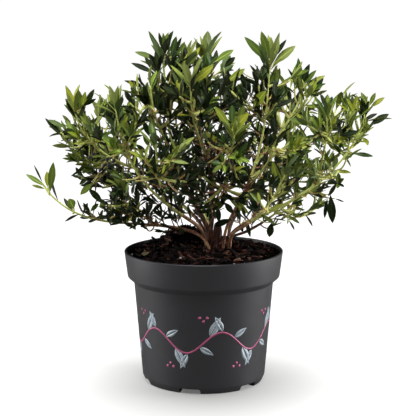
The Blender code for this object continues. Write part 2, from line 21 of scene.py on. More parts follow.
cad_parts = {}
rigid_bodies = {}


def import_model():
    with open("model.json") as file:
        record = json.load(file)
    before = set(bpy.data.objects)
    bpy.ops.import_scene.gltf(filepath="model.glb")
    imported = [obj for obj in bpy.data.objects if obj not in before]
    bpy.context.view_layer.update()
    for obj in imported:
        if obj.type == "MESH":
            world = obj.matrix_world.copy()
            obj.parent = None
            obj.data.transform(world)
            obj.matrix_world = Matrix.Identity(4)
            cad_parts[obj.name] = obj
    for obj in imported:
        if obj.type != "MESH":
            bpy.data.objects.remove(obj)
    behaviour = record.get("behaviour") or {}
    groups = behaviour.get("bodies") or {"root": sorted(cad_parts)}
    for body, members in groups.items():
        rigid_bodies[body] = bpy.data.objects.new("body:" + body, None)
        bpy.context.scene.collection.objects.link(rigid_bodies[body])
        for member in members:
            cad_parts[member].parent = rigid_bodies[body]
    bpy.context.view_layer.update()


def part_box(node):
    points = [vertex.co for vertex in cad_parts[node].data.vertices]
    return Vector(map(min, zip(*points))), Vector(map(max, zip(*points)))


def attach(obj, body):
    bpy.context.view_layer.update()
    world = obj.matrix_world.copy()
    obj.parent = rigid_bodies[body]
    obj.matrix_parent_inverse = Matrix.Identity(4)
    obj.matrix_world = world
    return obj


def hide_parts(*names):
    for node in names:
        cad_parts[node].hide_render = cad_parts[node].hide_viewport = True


LOG = logging.getLogger("potted_shrub")
Array = np.ndarray
Material = bpy.types.Material
Piece = bpy.types.Object
Colour = tuple[float, float, float]
Place = tuple[float, float, float]
Span = tuple[float, float]
Outline = list[tuple[float, float]]
Faces = list[tuple[int, ...]]

BODY = "root"
UP = np.array((0.0, 0.0, 1.0))
STEEP = 0.9
FINE_SHARE = 0.35
LEAST_LENGTH = 1e-12
LEAST_SPREAD = 1e-18
MM_IN_METRE = 1000
TENTHS_IN_METRE = 10000
GOLDEN_ANGLE = math.radians(137.508)
CROWN = "root_crown"
AGE = "age"
EYE = np.array((0.0052, -1.57, 0.4655))


class Slot(Enum):
    """The record's material slots."""

    POT = "pot_plastic"
    SOIL = "potting_soil"
    BARK = "bark"
    FOLIAGE = "foliage"


class LeafAgeAndShade(Enum):
    """How long ago a leaf opened, which gives its colour; the colours also carry painted light and shade, light for new
    leaves, near black for old ones.
    """

    NEW = "new"
    MATURE = "mature"
    OLD = "old"


NEW, MATURE, OLD = LeafAgeAndShade
LEAF_TINTS = 4


class Rank(Enum):
    """A shoot's place: a limb's leading shoot, a side shoot, a twig, or a spur on a bare bough."""

    LEADING = "leading"
    SIDE = "side"
    TWIG = "twig"
    SPUR = "spur"


def by_rank(*values: float) -> Field:
    """A field with one value for each rank, from the leading shoot to the spur."""
    return field(default_factory=lambda: dict(zip(Rank, values)))


class Sheet:
    """A node tree, with a short way to add nodes that are linked as they are made."""

    def __init__(self, tree: bpy.types.NodeTree) -> None:
        """Keeps the tree that is written to."""
        self.tree = tree

    def add(self, kind: str, values: dict | None = None, **settings: object) -> bpy.types.NodeOutputs:
        """Adds a node.

        Args:
            kind: Blender's name for the type of node.
            values: what its inputs get, by name or number: a value, or an output to be linked from.
            settings: the node's own properties.

        Returns:
            The new node's outputs.
        """
        node = self.tree.nodes.new(kind)
        for key, value in settings.items():
            setattr(node, key, value)
        self.feed(node, values or {})
        return node.outputs

    def feed(self, node: bpy.types.Node, values: dict) -> None:
        """Gives a node's inputs their values, or links them from the outputs that stand in their place."""
        for key, value in values.items():
            if isinstance(value, bpy.types.NodeSocket):
                self.tree.links.new(value, node.inputs[key])
            else:
                node.inputs[key].default_value = value


class Effects:
    """The node groups that several finishes share, each made once."""

    def __init__(self) -> None:
        """Makes the groups."""
        self.mottle = self.make_mottle()
        self.grain = self.make_grain()

    @staticmethod
    def start(name: str, numbers: dict[str, float], result: str) -> tuple[Sheet, dict]:
        """Starts a shader node group that works on stretched Object coordinates.

        Args:
            name: the group's name.
            numbers: its inputs that are numbers, with their default values.
            result: the name of its output.

        Returns:
            A sheet to write the group with, and its inputs by name, with the coordinates as "Place".
        """
        tree = bpy.data.node_groups.new(name, "ShaderNodeTree")
        for key, value in {**numbers, "Stretch": (1.0, 1.0, 1.0)}.items():
            kind = "NodeSocketFloat" if key in numbers else "NodeSocketVector"
            tree.interface.new_socket(name=key, in_out="INPUT", socket_type=kind).default_value = value
        tree.interface.new_socket(name=result, in_out="OUTPUT", socket_type="NodeSocketFloat")
        sheet = Sheet(tree)
        given = dict(sheet.add("NodeGroupInput").items())
        place = sheet.add("ShaderNodeTexCoord")["Object"]
        given["Place"] = sheet.add("ShaderNodeVectorMath", {0: place, 1: given["Stretch"]}, operation="MULTIPLY")[0]
        return sheet, given

    def make_mottle(self) -> bpy.types.NodeTree:
        """A patchy mask from 0 to 1, with the size of its patches and their contrast as inputs."""
        sheet, given = self.start("mottle", {"Scale": 60.0, "Contrast": 2.0}, "Mask")
        noise_inputs = {"Vector": given["Place"], "Scale": given["Scale"], "Detail": 4.0, "Roughness": 0.6}
        patches = sheet.add("ShaderNodeTexNoise", noise_inputs)
        centred = sheet.add("ShaderNodeMath", {0: patches[0], 1: 0.5}, operation="SUBTRACT")
        spread = {0: centred[0], 1: given["Contrast"], 2: 0.5}
        mask = sheet.add("ShaderNodeMath", spread, operation="MULTIPLY_ADD", use_clamp=True)
        sheet.add("NodeGroupOutput", {"Mask": mask[0]})
        return sheet.tree

    def make_grain(self) -> bpy.types.NodeTree:
        """A fine height, coarse and fine noise together, for bump."""
        sheet, given = self.start("grain", {"Scale": 900.0, "Fineness": 3.5}, "Height")
        finer = sheet.add("ShaderNodeMath", {0: given["Scale"], 1: given["Fineness"]}, operation="MULTIPLY")
        where = {"Vector": given["Place"]}
        coarse = sheet.add("ShaderNodeTexNoise", {**where, "Scale": given["Scale"], "Detail": 5.0, "Roughness": 0.55})
        fine = sheet.add("ShaderNodeTexNoise", {**where, "Scale": finer[0], "Detail": 3.0, "Roughness": 0.5})
        both = sheet.add("ShaderNodeMath", {0: fine[0], 1: FINE_SHARE, 2: coarse[0]}, operation="MULTIPLY_ADD")
        sheet.add("NodeGroupOutput", {"Height": both[0]})
        return sheet.tree


@dataclass(frozen=True)
class Finish:
    """A surface in two close colours that share it in patches, with its gloss and its grain."""

    name: str
    colour: Colour
    patch: Colour
    roughness: Span = (0.4, 0.6)
    patch_scale: float = 60.0
    patch_contrast: float = 2.0
    grain_scale: float = 900.0
    grain_depth: float = 0.0002
    grain_strength: float = 0.4
    stretch: Place = (1.0, 1.0, 1.0)
    specular: float = 0.5

    def start(self, effects: Effects) -> tuple[Material, Sheet, bpy.types.Node, bpy.types.NodeSocket]:
        """Makes the material with its mottle mask, roughness and bump.

        Args:
            effects: the shared node groups.

        Returns:
            The material, a sheet to write it with, its shader, and the mask.
        """
        material = bpy.data.materials.new(self.name)
        material.use_nodes = True
        sheet = Sheet(material.node_tree)
        shader = material.node_tree.nodes["Principled BSDF"]
        patches = {"Scale": self.patch_scale, "Stretch": self.stretch, "Contrast": self.patch_contrast}
        mask = sheet.add("ShaderNodeGroup", patches, node_tree=effects.mottle)["Mask"]
        low, high = self.roughness
        gloss = sheet.add("ShaderNodeMapRange", {"Value": mask, "To Min": low, "To Max": high})
        grain = {"Scale": self.grain_scale, "Stretch": self.stretch}
        height = sheet.add("ShaderNodeGroup", grain, node_tree=effects.grain)["Height"]
        relief = {"Strength": self.grain_strength, "Distance": self.grain_depth, "Height": height}
        bump = sheet.add("ShaderNodeBump", relief)
        sheet.feed(shader, {"Specular IOR Level": self.specular, "Roughness": gloss[0], "Normal": bump[0]})
        return material, sheet, shader, mask

    def material(self, effects: Effects) -> Material:
        """The finished material."""
        material, sheet, shader, mask = self.start(effects)
        colours = {0: mask, 6: (*self.colour, 1.0), 7: (*self.patch, 1.0)}
        blend = sheet.add("ShaderNodeMix", colours, data_type="RGBA")
        sheet.feed(shader, {"Base Color": blend[2]})
        return material


@dataclass(frozen=True)
class WoodFinish(Finish):
    """Bark that turns from old brown at the foot to the green of this year's shoots.

    The mesh says how young the wood is, in its own attribute from 0 to 1, and the patches shift it. The attribute also
    carries painted shade: limbs at the back and twigs inside the crown stand lower on the ramp, darker.
    """

    steps: tuple[tuple[float, Colour], ...] = ()
    patch_swing: float = 0.34
    patch_shift: float = -0.14

    def material(self, effects: Effects) -> Material:
        """The finished material."""
        material, sheet, shader, mask = self.start(effects)
        age = sheet.add("ShaderNodeAttribute", attribute_name=AGE)["Fac"]
        swing = {0: mask, 1: self.patch_swing, 2: self.patch_shift}
        shift = sheet.add("ShaderNodeMath", swing, operation="MULTIPLY_ADD")
        place = sheet.add("ShaderNodeMath", {0: age, 1: shift[0]}, operation="ADD", use_clamp=True)
        colour = sheet.add("ShaderNodeValToRGB", {0: place[0]})[0]
        stops = colour.node.color_ramp.elements
        while len(stops) < len(self.steps):
            stops.new(0.5)
        for stop, (at, tint) in zip(stops, self.steps):
            stop.position = at
            stop.color = (*tint, 1.0)
        sheet.feed(shader, {"Base Color": colour})
        return material


@dataclass(frozen=True)
class FloorFinish(Finish):
    """A studio floor that glows for the eye alone: full white further off, and dimmer round the pot, which paints the
    pot's soft shadow on it.
    """

    # Painted shadow: the glow is lowest round the centre, just before the pot, and rises to glow_far between near and
    # far.
    shadow_glow: float = 0.13
    glow_far: float = 1.0
    centre: Place = (0.0, -0.055, 0.0)
    near: float = 0.021
    far: float = 0.202

    def material(self, effects: Effects) -> Material:
        """The finished material."""
        material = super().material(effects)
        sheet = Sheet(material.node_tree)
        place = sheet.add("ShaderNodeTexCoord")["Object"]
        # The glow dims towards the pot, which paints the pot's soft shadow on the floor.
        reach = sheet.add("ShaderNodeVectorMath", {0: place, 1: self.centre}, operation="DISTANCE")["Value"]
        spread = {"From Min": self.near, "From Max": self.far, "To Min": self.shadow_glow, "To Max": self.glow_far}
        glow_and_shadow = sheet.add("ShaderNodeMapRange", {"Value": reach, **spread})
        seen = sheet.add("ShaderNodeLightPath")["Is Camera Ray"]
        strength = sheet.add("ShaderNodeMath", {0: seen, 1: glow_and_shadow[0]}, operation="MULTIPLY")
        shader = material.node_tree.nodes["Principled BSDF"]
        sheet.feed(shader, {"Emission Color": (1.0, 1.0, 0.99, 1.0), "Emission Strength": strength[0]})
        return material


@dataclass
class Pile:
    """Many small things, joined in one mesh as they are made."""

    points: list[Array] = field(default_factory=list)
    faces: Faces = field(default_factory=list)
    slots: list[int] = field(default_factory=list)
    ages: list[Array] = field(default_factory=list)
    count: int = 0

    def add(self, points: Array, faces: Faces, slots: int | list[int] = 0, age: Array | None = None) -> None:
        """Adds one thing.

        Args:
            points: its vertices, one row each.
            faces: its faces, by its own vertex numbers.
            slots: the material number of every face, or of each.
            age: how young the wood is at each vertex, with painted shade in it, where the material asks.
        """
        self.points.append(points)
        self.faces += [tuple(self.count + number for number in face) for face in faces]
        self.slots += [slots] * len(faces) if isinstance(slots, int) else slots
        if age is not None:
            self.ages.append(age)
        self.count += len(points)

    def build(self, name: str, materials: list[Material], sharp_deg: float) -> Piece:
        """Makes the object.

        Args:
            name: the object's name.
            materials: its materials, in the order that the slots number them.
            sharp_deg: edges that turn further than this stay sharp.

        Returns:
            The new object, with its place in its mesh.
        """
        mesh = bpy.data.meshes.new(name)
        mesh.from_pydata(np.vstack(self.points).tolist(), [], self.faces)
        for material in materials:
            mesh.materials.append(material)
        mesh.polygons.foreach_set("material_index", self.slots)
        if self.ages:
            mesh.attributes.new(AGE, "FLOAT", "POINT").data.foreach_set("value", np.concatenate(self.ages))
        mesh.shade_smooth()
        mesh.set_sharp_from_angle(angle=math.radians(sharp_deg))
        piece = bpy.data.objects.new(name, mesh)
        bpy.context.scene.collection.objects.link(piece)
        return piece


def settle(piece: Piece, slot: Slot, *nodes: str) -> None:
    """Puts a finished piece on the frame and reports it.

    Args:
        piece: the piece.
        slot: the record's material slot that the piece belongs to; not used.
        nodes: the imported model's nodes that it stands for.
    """
    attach(piece, BODY)
    if nodes:
        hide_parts(*nodes)
    triangles = sum(len(face.vertices) - 2 for face in piece.data.polygons)
    LOG.info("%s: %d triangles, stands for %d nodes", piece.name, triangles, len(nodes))


def unit(vector: Array) -> Array:
    """The vector at length one."""
    return vector / max(np.linalg.norm(vector), LEAST_LENGTH)


def across(axis: Array) -> tuple[Array, Array]:
    """Two unit vectors square to the axis and to each other."""
    helper = UP if abs(axis[2]) < STEEP else np.array((1.0, 0.0, 0.0))
    one = unit(np.cross(helper, axis))
    return one, np.cross(axis, one)


def beside(axis: Array, turn: float) -> Array:
    """A unit vector square to the axis, at that angle round it."""
    one, two = across(axis)
    return math.cos(turn) * one + math.sin(turn) * two


def turned_about(vector: Array, axis: Array, angle: float) -> Array:
    """The vector turned about a unit axis."""
    along = axis * (axis @ vector)
    return along + (vector - along) * math.cos(angle) + np.cross(axis, vector) * math.sin(angle)


def at_share(path: Array, share: float) -> Array:
    """The point that far along a path of evenly numbered steps."""
    place = share * (len(path) - 1)
    low = min(int(place), len(path) - 2)
    return path[low] + (place - low) * (path[low + 1] - path[low])


def steps_of(path: Array) -> Array:
    """The lengths of a path's steps."""
    return np.linalg.norm(np.diff(path, axis=0), axis=1)


def ways_along(path: Array) -> Array:
    """How far each point of a path lies from its first, along it."""
    return np.concatenate([[0.0], np.cumsum(steps_of(path))])


def cubic(start: Array, first: Array, second: Array, end: Array, steps: int) -> Array:
    """Points at even steps of the cubic curve that has these four controls."""
    t = np.linspace(0.0, 1.0, steps + 1)[:, None]
    u = 1.0 - t
    return u**3 * start + 3 * u**2 * t * first + 3 * u * t**2 * second + t**3 * end


def spread_out(path: Array, count: int) -> Array:
    """The path by straight stretches, at that many even shares."""
    grid, shares = np.linspace(0.0, 1.0, len(path)), np.linspace(0.0, 1.0, count)
    return np.stack([np.interp(shares, grid, path[:, axis]) for axis in range(3)], axis=1)


def resampled(path: Array, count: int) -> Array:
    """The path at that many even shares, a path of three points as a smooth curve."""
    if len(path) != 3:
        return spread_out(path, count)
    t = np.linspace(0.0, 1.0, count)[:, None]
    middle = 2 * path[1] - (path[0] + path[2]) / 2
    return (1 - t) ** 2 * path[0] + 2 * t * (1 - t) * middle + t**2 * path[2]


def as_segments(lines: list[tuple[Array, Array]]) -> tuple[Array, Array, Array]:
    """Starts, ends and radii of the straight parts of lines that are given by points and radii."""
    starts, ends = np.vstack([points[:-1] for points, _ in lines]), np.vstack([points[1:] for points, _ in lines])
    return starts, ends, np.concatenate([radii[:-1] for _, radii in lines])


def ring_faces(low: int, sides: int) -> Faces:
    """Faces between a ring of vertices, the first numbered low, and the ring that follows it."""
    pairs = [(side, (side + 1) % sides) for side in range(sides)]
    return [(low + side, low + after, low + sides + after, low + sides + side) for side, after in pairs]


@dataclass(frozen=True)
class Limb:
    """One row of the plant's plan.

    A limb leaves its parent at one slope and ends at another, in degrees. From the root crown
    "where" is a height in metres, from a limb it is a share of its length. "share" is how far the
    limb is bare before its foliage begins.
    """

    name: str
    parent: str
    where: float
    tip: Place
    leave_deg: float
    finish_deg: float
    radius: float
    share: float


LIMBS = [
    Limb("left_front", CROWN, 0.019, (-0.098, -0.075, 0.334), 28, 84, 0.0034, 0.56),
    Limb("left_low", CROWN, 0.012, (-0.182, -0.014, 0.228), 25, 48, 0.0029, 0.55),
    Limb("top_left", CROWN, 0.025, (-0.048, 0.002, 0.386), 50, 84, 0.0040, 0.60),
    Limb("top_centre", CROWN, 0.025, (0.002, 0.034, 0.384), 74, 88, 0.0042, 0.60),
    Limb("top_right", CROWN, 0.024, (0.077, -0.025, 0.381), 54, 86, 0.0040, 0.60),
    Limb("right_far", CROWN, 0.019, (0.194, -0.010, 0.332), 24, 76, 0.0034, 0.62),
    Limb("right_low", CROWN, 0.009, (0.128, 0.026, 0.228), 15, 32, 0.0027, 0.52),
    Limb("back_left", CROWN, 0.018, (-0.108, 0.098, 0.335), 32, 80, 0.0034, 0.55),
    Limb("back_low", CROWN, 0.012, (-0.022, 0.146, 0.272), 20, 66, 0.0030, 0.52),
    Limb("back_right", CROWN, 0.020, (0.108, 0.098, 0.345), 34, 80, 0.0034, 0.55),
    Limb("back_middle", "back_right", 0.30, (0.042, 0.132, 0.322), 40, 76, 0.0023, 0.46),
    Limb("right_low_front", CROWN, 0.014, (0.093, -0.098, 0.268), 22, 62, 0.0029, 0.58),
    Limb("low_left", "left_low", 0.30, (-0.092, -0.062, 0.240), 24, 52, 0.0021, 0.42),
    Limb("left_outer", "top_left", 0.24, (-0.150, -0.022, 0.326), 26, 76, 0.0028, 0.58),
    Limb("left_lower", "left_outer", 0.34, (-0.130, 0.030, 0.280), 16, 64, 0.0021, 0.42),
    Limb("left_centre", "left_front", 0.36, (-0.052, -0.112, 0.300), 44, 80, 0.0021, 0.40),
    Limb("upper_left", "top_left", 0.40, (-0.060, -0.058, 0.357), 50, 84, 0.0025, 0.45),
    Limb("front_centre", "top_centre", 0.30, (-0.014, -0.104, 0.366), 46, 84, 0.0028, 0.58),
    Limb("centre_front", "front_centre", 0.16, (0.034, -0.118, 0.308), 44, 70, 0.0020, 0.42),
    Limb("centre", "top_centre", 0.14, (0.030, -0.062, 0.262), 40, 60, 0.0021, 0.40),
    Limb("back_centre", "top_centre", 0.36, (-0.022, 0.084, 0.378), 52, 84, 0.0026, 0.46),
    Limb("centre_right", "top_right", 0.22, (0.082, -0.082, 0.304), 40, 72, 0.0022, 0.46),
    Limb("upper_right", "top_right", 0.42, (0.120, 0.024, 0.362), 46, 82, 0.0025, 0.48),
    Limb("right_outer", "top_right", 0.33, (0.164, 0.042, 0.334), 30, 74, 0.0026, 0.56),
    Limb("right_front", "right_far", 0.52, (0.140, -0.070, 0.326), 62, 86, 0.0022, 0.46),
    Limb("right_side", "right_far", 0.58, (0.164, -0.050, 0.274), 26, 66, 0.0019, 0.24),
    Limb("back_left_low", "back_left", 0.36, (-0.122, 0.086, 0.254), 14, 60, 0.0021, 0.42),
    Limb("back_right_low", "back_right", 0.36, (0.122, 0.088, 0.254), 14, 60, 0.0021, 0.42),
]
FOLIAGE_NODES = [limb.name + "_foliage" for limb in LIMBS]
BOUGH_NODES = [limb.name + "_bough" for limb in LIMBS]


@dataclass
class CrownStump:
    """The root crown's axis: heights above the soil with radii, and how it leans."""

    foot: Array = field(default_factory=lambda: np.array((0.0165, 0.004, 0.1583)))
    profile: Outline = field(
        default_factory=lambda: [(0.0, 0.0165), (0.004, 0.0130), (0.012, 0.0116), (0.022, 0.0112), (0.030, 0.0085)]
    )
    lean: Array = field(default_factory=lambda: np.array((0.02, 0.05, 1.0)))
    root_offset: float = 0.0055

    def line(self) -> tuple[Array, Array]:
        """Points and radii of the axis; the lowest stretch is upright."""
        upright = self.profile[1][0]
        points = [
            self.foot + UP * min(height, upright) + self.lean * max(height - upright, 0.0)
            for height, _ in self.profile
        ]
        return np.array(points), np.array([radius for _, radius in self.profile])

    def root_of(self, limb: Limb) -> Array:
        """Where a limb's centre line starts in the stump."""
        start = self.foot + self.lean * limb.where
        towards = np.array((limb.tip[0] - start[0], limb.tip[1] - start[1], 0.0))
        return start + self.root_offset * unit(towards)


@dataclass
class LimbLine:
    """A limb's whole line from its foot to its leading tip, with its radii."""

    limb: Limb
    path: Array
    radii: Array

    def stretch(self, low: float, high: float, count: int) -> tuple[Array, Array]:
        """Points and radii at even steps between two shares of the way."""
        shares = np.linspace(low, high, count)
        grid = np.linspace(0.0, 1.0, len(self.path))
        points = np.array([at_share(self.path, share) for share in shares])
        return points, np.interp(shares, grid, self.radii)

    def length(self) -> float:
        """The line's length in metres."""
        return float(steps_of(self.path).sum())


@dataclass
class LimbPlan:
    """Lays out every limb's line, parents first."""

    stump: CrownStump
    reach_out: float = 0.42
    reach_back: float = 0.38
    steps: int = 24
    tip_radius: float = 0.0014
    taper_power: float = 0.8
    lines: dict[str, LimbLine] = field(default_factory=dict)

    def lay_out(self) -> None:
        """Fills the plan's lines."""
        for limb in LIMBS:
            if limb.parent == CROWN:
                start = self.stump.root_of(limb)
            else:
                start = at_share(self.lines[limb.parent].path, limb.where)
            path = self.curve(limb, start)
            t = np.linspace(0.0, 1.0, len(path))
            radii = limb.radius + (self.tip_radius - limb.radius) * t**self.taper_power
            self.lines[limb.name] = LimbLine(limb, path, radii)

    def below(self, limb: Limb) -> tuple[float, Limb]:
        """The way from the root crown to a limb's foot, and the limb of the root crown it comes from."""
        if limb.parent == CROWN:
            return 0.0, limb
        parent = self.lines[limb.parent]
        way, first = self.below(parent.limb)
        return way + limb.where * parent.length(), first

    def curve(self, limb: Limb, start: Array) -> Array:
        """A limb's centre line from its start: it leaves at one slope and ends at another."""
        tip = np.array(limb.tip)
        chord = tip - start
        length = np.linalg.norm(chord)
        flat = unit(chord * (1.0, 1.0, 0.0))
        leave, end = math.radians(limb.leave_deg), math.radians(limb.finish_deg)
        first = start + self.reach_out * length * (math.cos(leave) * flat + math.sin(leave) * UP)
        second = tip - self.reach_back * length * (math.cos(end) * flat + math.sin(end) * UP)
        return cubic(start, first, second, tip, self.steps)


def segment_distances(a: Array, b: Array, starts: Array, ends: Array) -> Array:
    """Least distance from segment a-b to each of many segments."""
    along, others, apart = b - a, ends - starts, starts - a
    aa, bb = along @ along, np.einsum("ij,ij->i", others, others)
    ab, ad, bd = others @ along, apart @ along, np.einsum("ij,ij->i", apart, others)
    spread = np.maximum(aa * bb - ab * ab, LEAST_SPREAD)
    s = np.clip((ad * bb - bd * ab) / spread, 0.0, 1.0)
    t = np.clip((s * ab - bd) / bb, 0.0, 1.0)
    s = np.clip((ad + t * ab) / aa, 0.0, 1.0)
    near = a + s[:, None] * along - (starts + t[:, None] * others)
    return np.linalg.norm(near, axis=1)


class Room:
    """The space that foliage may fill: each mass near its own heart, clear of wood, in the outline."""

    HEART_SHARE = 0.75
    LIMB_MARGIN = 0.0010
    CENTRE = (0.010, 0.0)
    SPREAD = (0.205, 0.185)
    HEIGHTS = (0.180, 0.335, 0.420)
    SHARES = (0.72, 1.0, 0.30)
    SEGMENTS = 12
    SHADE_CENTRE = (0.002, 0.0)
    SHADE_SPREAD = (0.166, 0.26)
    SHADE_RISE = 0.74
    # The DIM values darken the lower left, so that the leaves and twigs there take the tints of painted shade.
    DIM_HEIGHTS = (0.225, 0.280)
    DIM_SIDES = (-0.02, 0.06)
    DIM_LOSS = 0.55

    def __init__(self, plan: LimbPlan) -> None:
        """Works out the hearts of the masses and the segments of all wood.

        Args:
            plan: the limbs' lines, laid out.
        """
        self.names = list(plan.lines)
        hearts = [
            at_share(line.path, line.limb.share + self.HEART_SHARE * (1.0 - line.limb.share))
            for line in plan.lines.values()
        ]
        self.hearts = np.array(hearts)
        stretches, owners = [], []
        for name, line in plan.lines.items():
            for low, high, owner in ((0.0, line.limb.share, CROWN), (line.limb.share, 1.0, name)):
                stretches.append(line.stretch(low, high, self.SEGMENTS))
                owners += [owner] * (self.SEGMENTS - 1)
        stretches.append(plan.stump.line())
        owners += [CROWN] * (len(plan.stump.profile) - 1)
        self.starts, self.ends, self.radii = as_segments(stretches)
        self.owners = np.array(owners)

    def inside(self, name: str, points: Array, margin: float) -> bool:
        """True if all points lie in the mass's own cell, by at least the margin, and off the pot."""
        own = self.hearts[self.names.index(name)]
        rest = np.array([heart for heart, other in zip(self.hearts, self.names) if other != name])
        middle = (rest + own) / 2
        normal = rest - own
        normal /= np.linalg.norm(normal, axis=1)[:, None]
        depth = np.einsum("jk,ijk->ij", normal, middle[None] - points[:, None])
        return bool(depth.min() > margin and points[:, 2].min() > self.HEIGHTS[0])

    def clear_of_wood(self, name: str, a: Array, b: Array, half_width: float) -> bool:
        """True if a bar from a to b touches no limb, and no leading shoot of another mass."""
        gaps = segment_distances(a, b, self.starts, self.ends) - self.radii
        return bool(gaps[self.owners != name].min() > half_width + self.LIMB_MARGIN)

    def in_outline(self, points: Array, share: float) -> bool:
        """True if all points lie within that share of the crown's outline."""
        points = np.atleast_2d(points)
        plan = (points[:, :2] - self.CENTRE) / self.SPREAD
        limit = share * np.interp(points[:, 2], self.HEIGHTS, self.SHARES)
        inside = (np.linalg.norm(plan, axis=1) < limit).all()
        return bool(inside and points[:, 2].max() < self.HEIGHTS[-1])

    def light(self, point: Array) -> float:
        """How much light a place in the crown gets: 1 at its top and sides, less inside and at the lower left. It sets
        painted light and shade: leaf tints and twig bark are chosen by it.
        """
        plan = (point[:2] - self.SHADE_CENTRE) / self.SHADE_SPREAD
        rise = (point[2] - self.HEIGHTS[0]) / (self.HEIGHTS[-1] - self.HEIGHTS[0])
        low = np.interp(point[2], self.DIM_HEIGHTS, (self.DIM_LOSS, 0.0))
        dim = low * np.interp(point[0], self.DIM_SIDES, (1.0, 0.0))
        return float(min(max(np.linalg.norm(plan), self.SHADE_RISE * rise), 1.0) * (1.0 - dim))


@dataclass
class Sight:
    """What stays open to the photograph's view: sky in notches of the crown, and stems that show.

    A gap is a circle on the upright plane through the pot's axis, as x, z and radius in millimetres.
    A stem shows between two shares of its limb's length.
    """

    plan: LimbPlan
    gaps_mm: tuple[tuple[int, int, int], ...] = (
        (-160, 234, 11), (-166, 257, 9), (-194, 196, 20), (-156, 182, 12), (-125, 182, 10), (-98, 179, 9),
        (-77, 177, 9), (-171, 346, 8), (-143, 356, 6), (-109, 369, 8), (-73, 412, 8), (26, 406, 10),
        (44, 392, 8), (101, 380, 6), (127, 398, 8), (161, 363, 10), (199, 360, 12), (186, 234, 17),
        (167, 210, 12), (115, 181, 12), (131, 189, 12), (149, 198, 12), (95, 172, 12), (70, 168, 10),
        (-102, 366, 8), (-45, 373, 5), (-15, 371, 3), (16, 373, 4), (108, 347, 3), (-92, 336, 3),
        (-159, 319, 3), (-135, 328, 5), (-118, 309, 5), (-73, 328, 5), (-33, 332, 4), (-122, 228, 6),
        (-139, 219, 5), (-69, 374, 5), (-86, 371, 6), (118, 239, 5), (126, 214, 4), (104, 218, 3),
        (167, 261, 5), (130, 273, 4), (71, 216, 3), (102, 356, 4), (96, 370, 5), (124, 337, 5),
        (146, 384, 8), (153, 373, 9), (159, 326, 6), (181, 309, 5), (91, 320, 5), (93, 282, 6),
        (124, 299, 4), (36, 227, 6), (202, 300, 6), (-196, 300, 10),
    )
    shown: dict[str, Span] = field(
        default_factory=lambda: {
            "left_front": (0.05, 0.86), "left_outer": (0.35, 0.92), "left_low": (0.76, 0.96),
            "upper_left": (0.45, 0.95), "front_centre": (0.15, 0.95), "centre_front": (0.10, 0.90),
            "centre_right": (0.10, 0.90), "top_right": (0.40, 0.95), "right_low": (0.05, 0.90),
            "right_low_front": (0.05, 0.80), "right_far": (0.10, 0.80), "right_front": (0.10, 0.90),
            "centre": (0.10, 0.80),
        }
    )
    segments: int = 14
    room: float = 0.0006

    def __post_init__(self) -> None:
        """Works out the stretches that show, flattened onto the plane, and how far off each is."""
        self.gaps = np.array(self.gaps_mm) / MM_IN_METRE
        shown = [self.plan.lines[name].stretch(*span, self.segments) for name, span in self.shown.items()]
        self.starts, self.ends, self.radii = as_segments([(self.flattened(points), radii) for points, radii in shown])
        self.depths = np.concatenate([points[:-1, 1] for points, _ in shown])

    @staticmethod
    def flattened(points: Array) -> Array:
        """Where the lines of sight through points cross the upright plane through the pot's axis."""
        scale = EYE[1] / (EYE[1] - points[:, 1])
        return (EYE + scale[:, None] * (points - EYE)) * (1.0, 0.0, 1.0)

    def in_gap(self, points: Array, half_width: float) -> bool:
        """True if a thing of that half width at any of the points stands in a gap of sky."""
        flat = self.flattened(points)
        return any(np.hypot(flat[:, 0] - x, flat[:, 2] - z).min() < size + half_width for x, z, size in self.gaps)

    def hides_stem(self, a: Array, b: Array, half_width: float) -> bool:
        """True if a leaf from a to b stands before a stem that shows."""
        flat = self.flattened(np.array((a, b)))
        gaps = segment_distances(flat[0], flat[1], self.starts, self.ends)
        near = gaps < self.radii + self.room + half_width
        return bool((near & (min(a[1], b[1]) < self.depths)).any())


@dataclass(eq=False)
class Shoot:
    """A stem that carries leaves: its line, its radius, its rank, and how young it is from 0 to 1, which for twigs and
    spurs also carries painted shade.
    """

    mass: str
    line: Array
    radius: float
    rank: Rank
    young: float


@dataclass(frozen=True)
class Habit:
    """How one rank of shoot grows out, and the room it asks for."""

    lengths: Span
    forward: float
    sideways: float
    radius: float
    tip_room: float
    outline_share: float
    tries: int


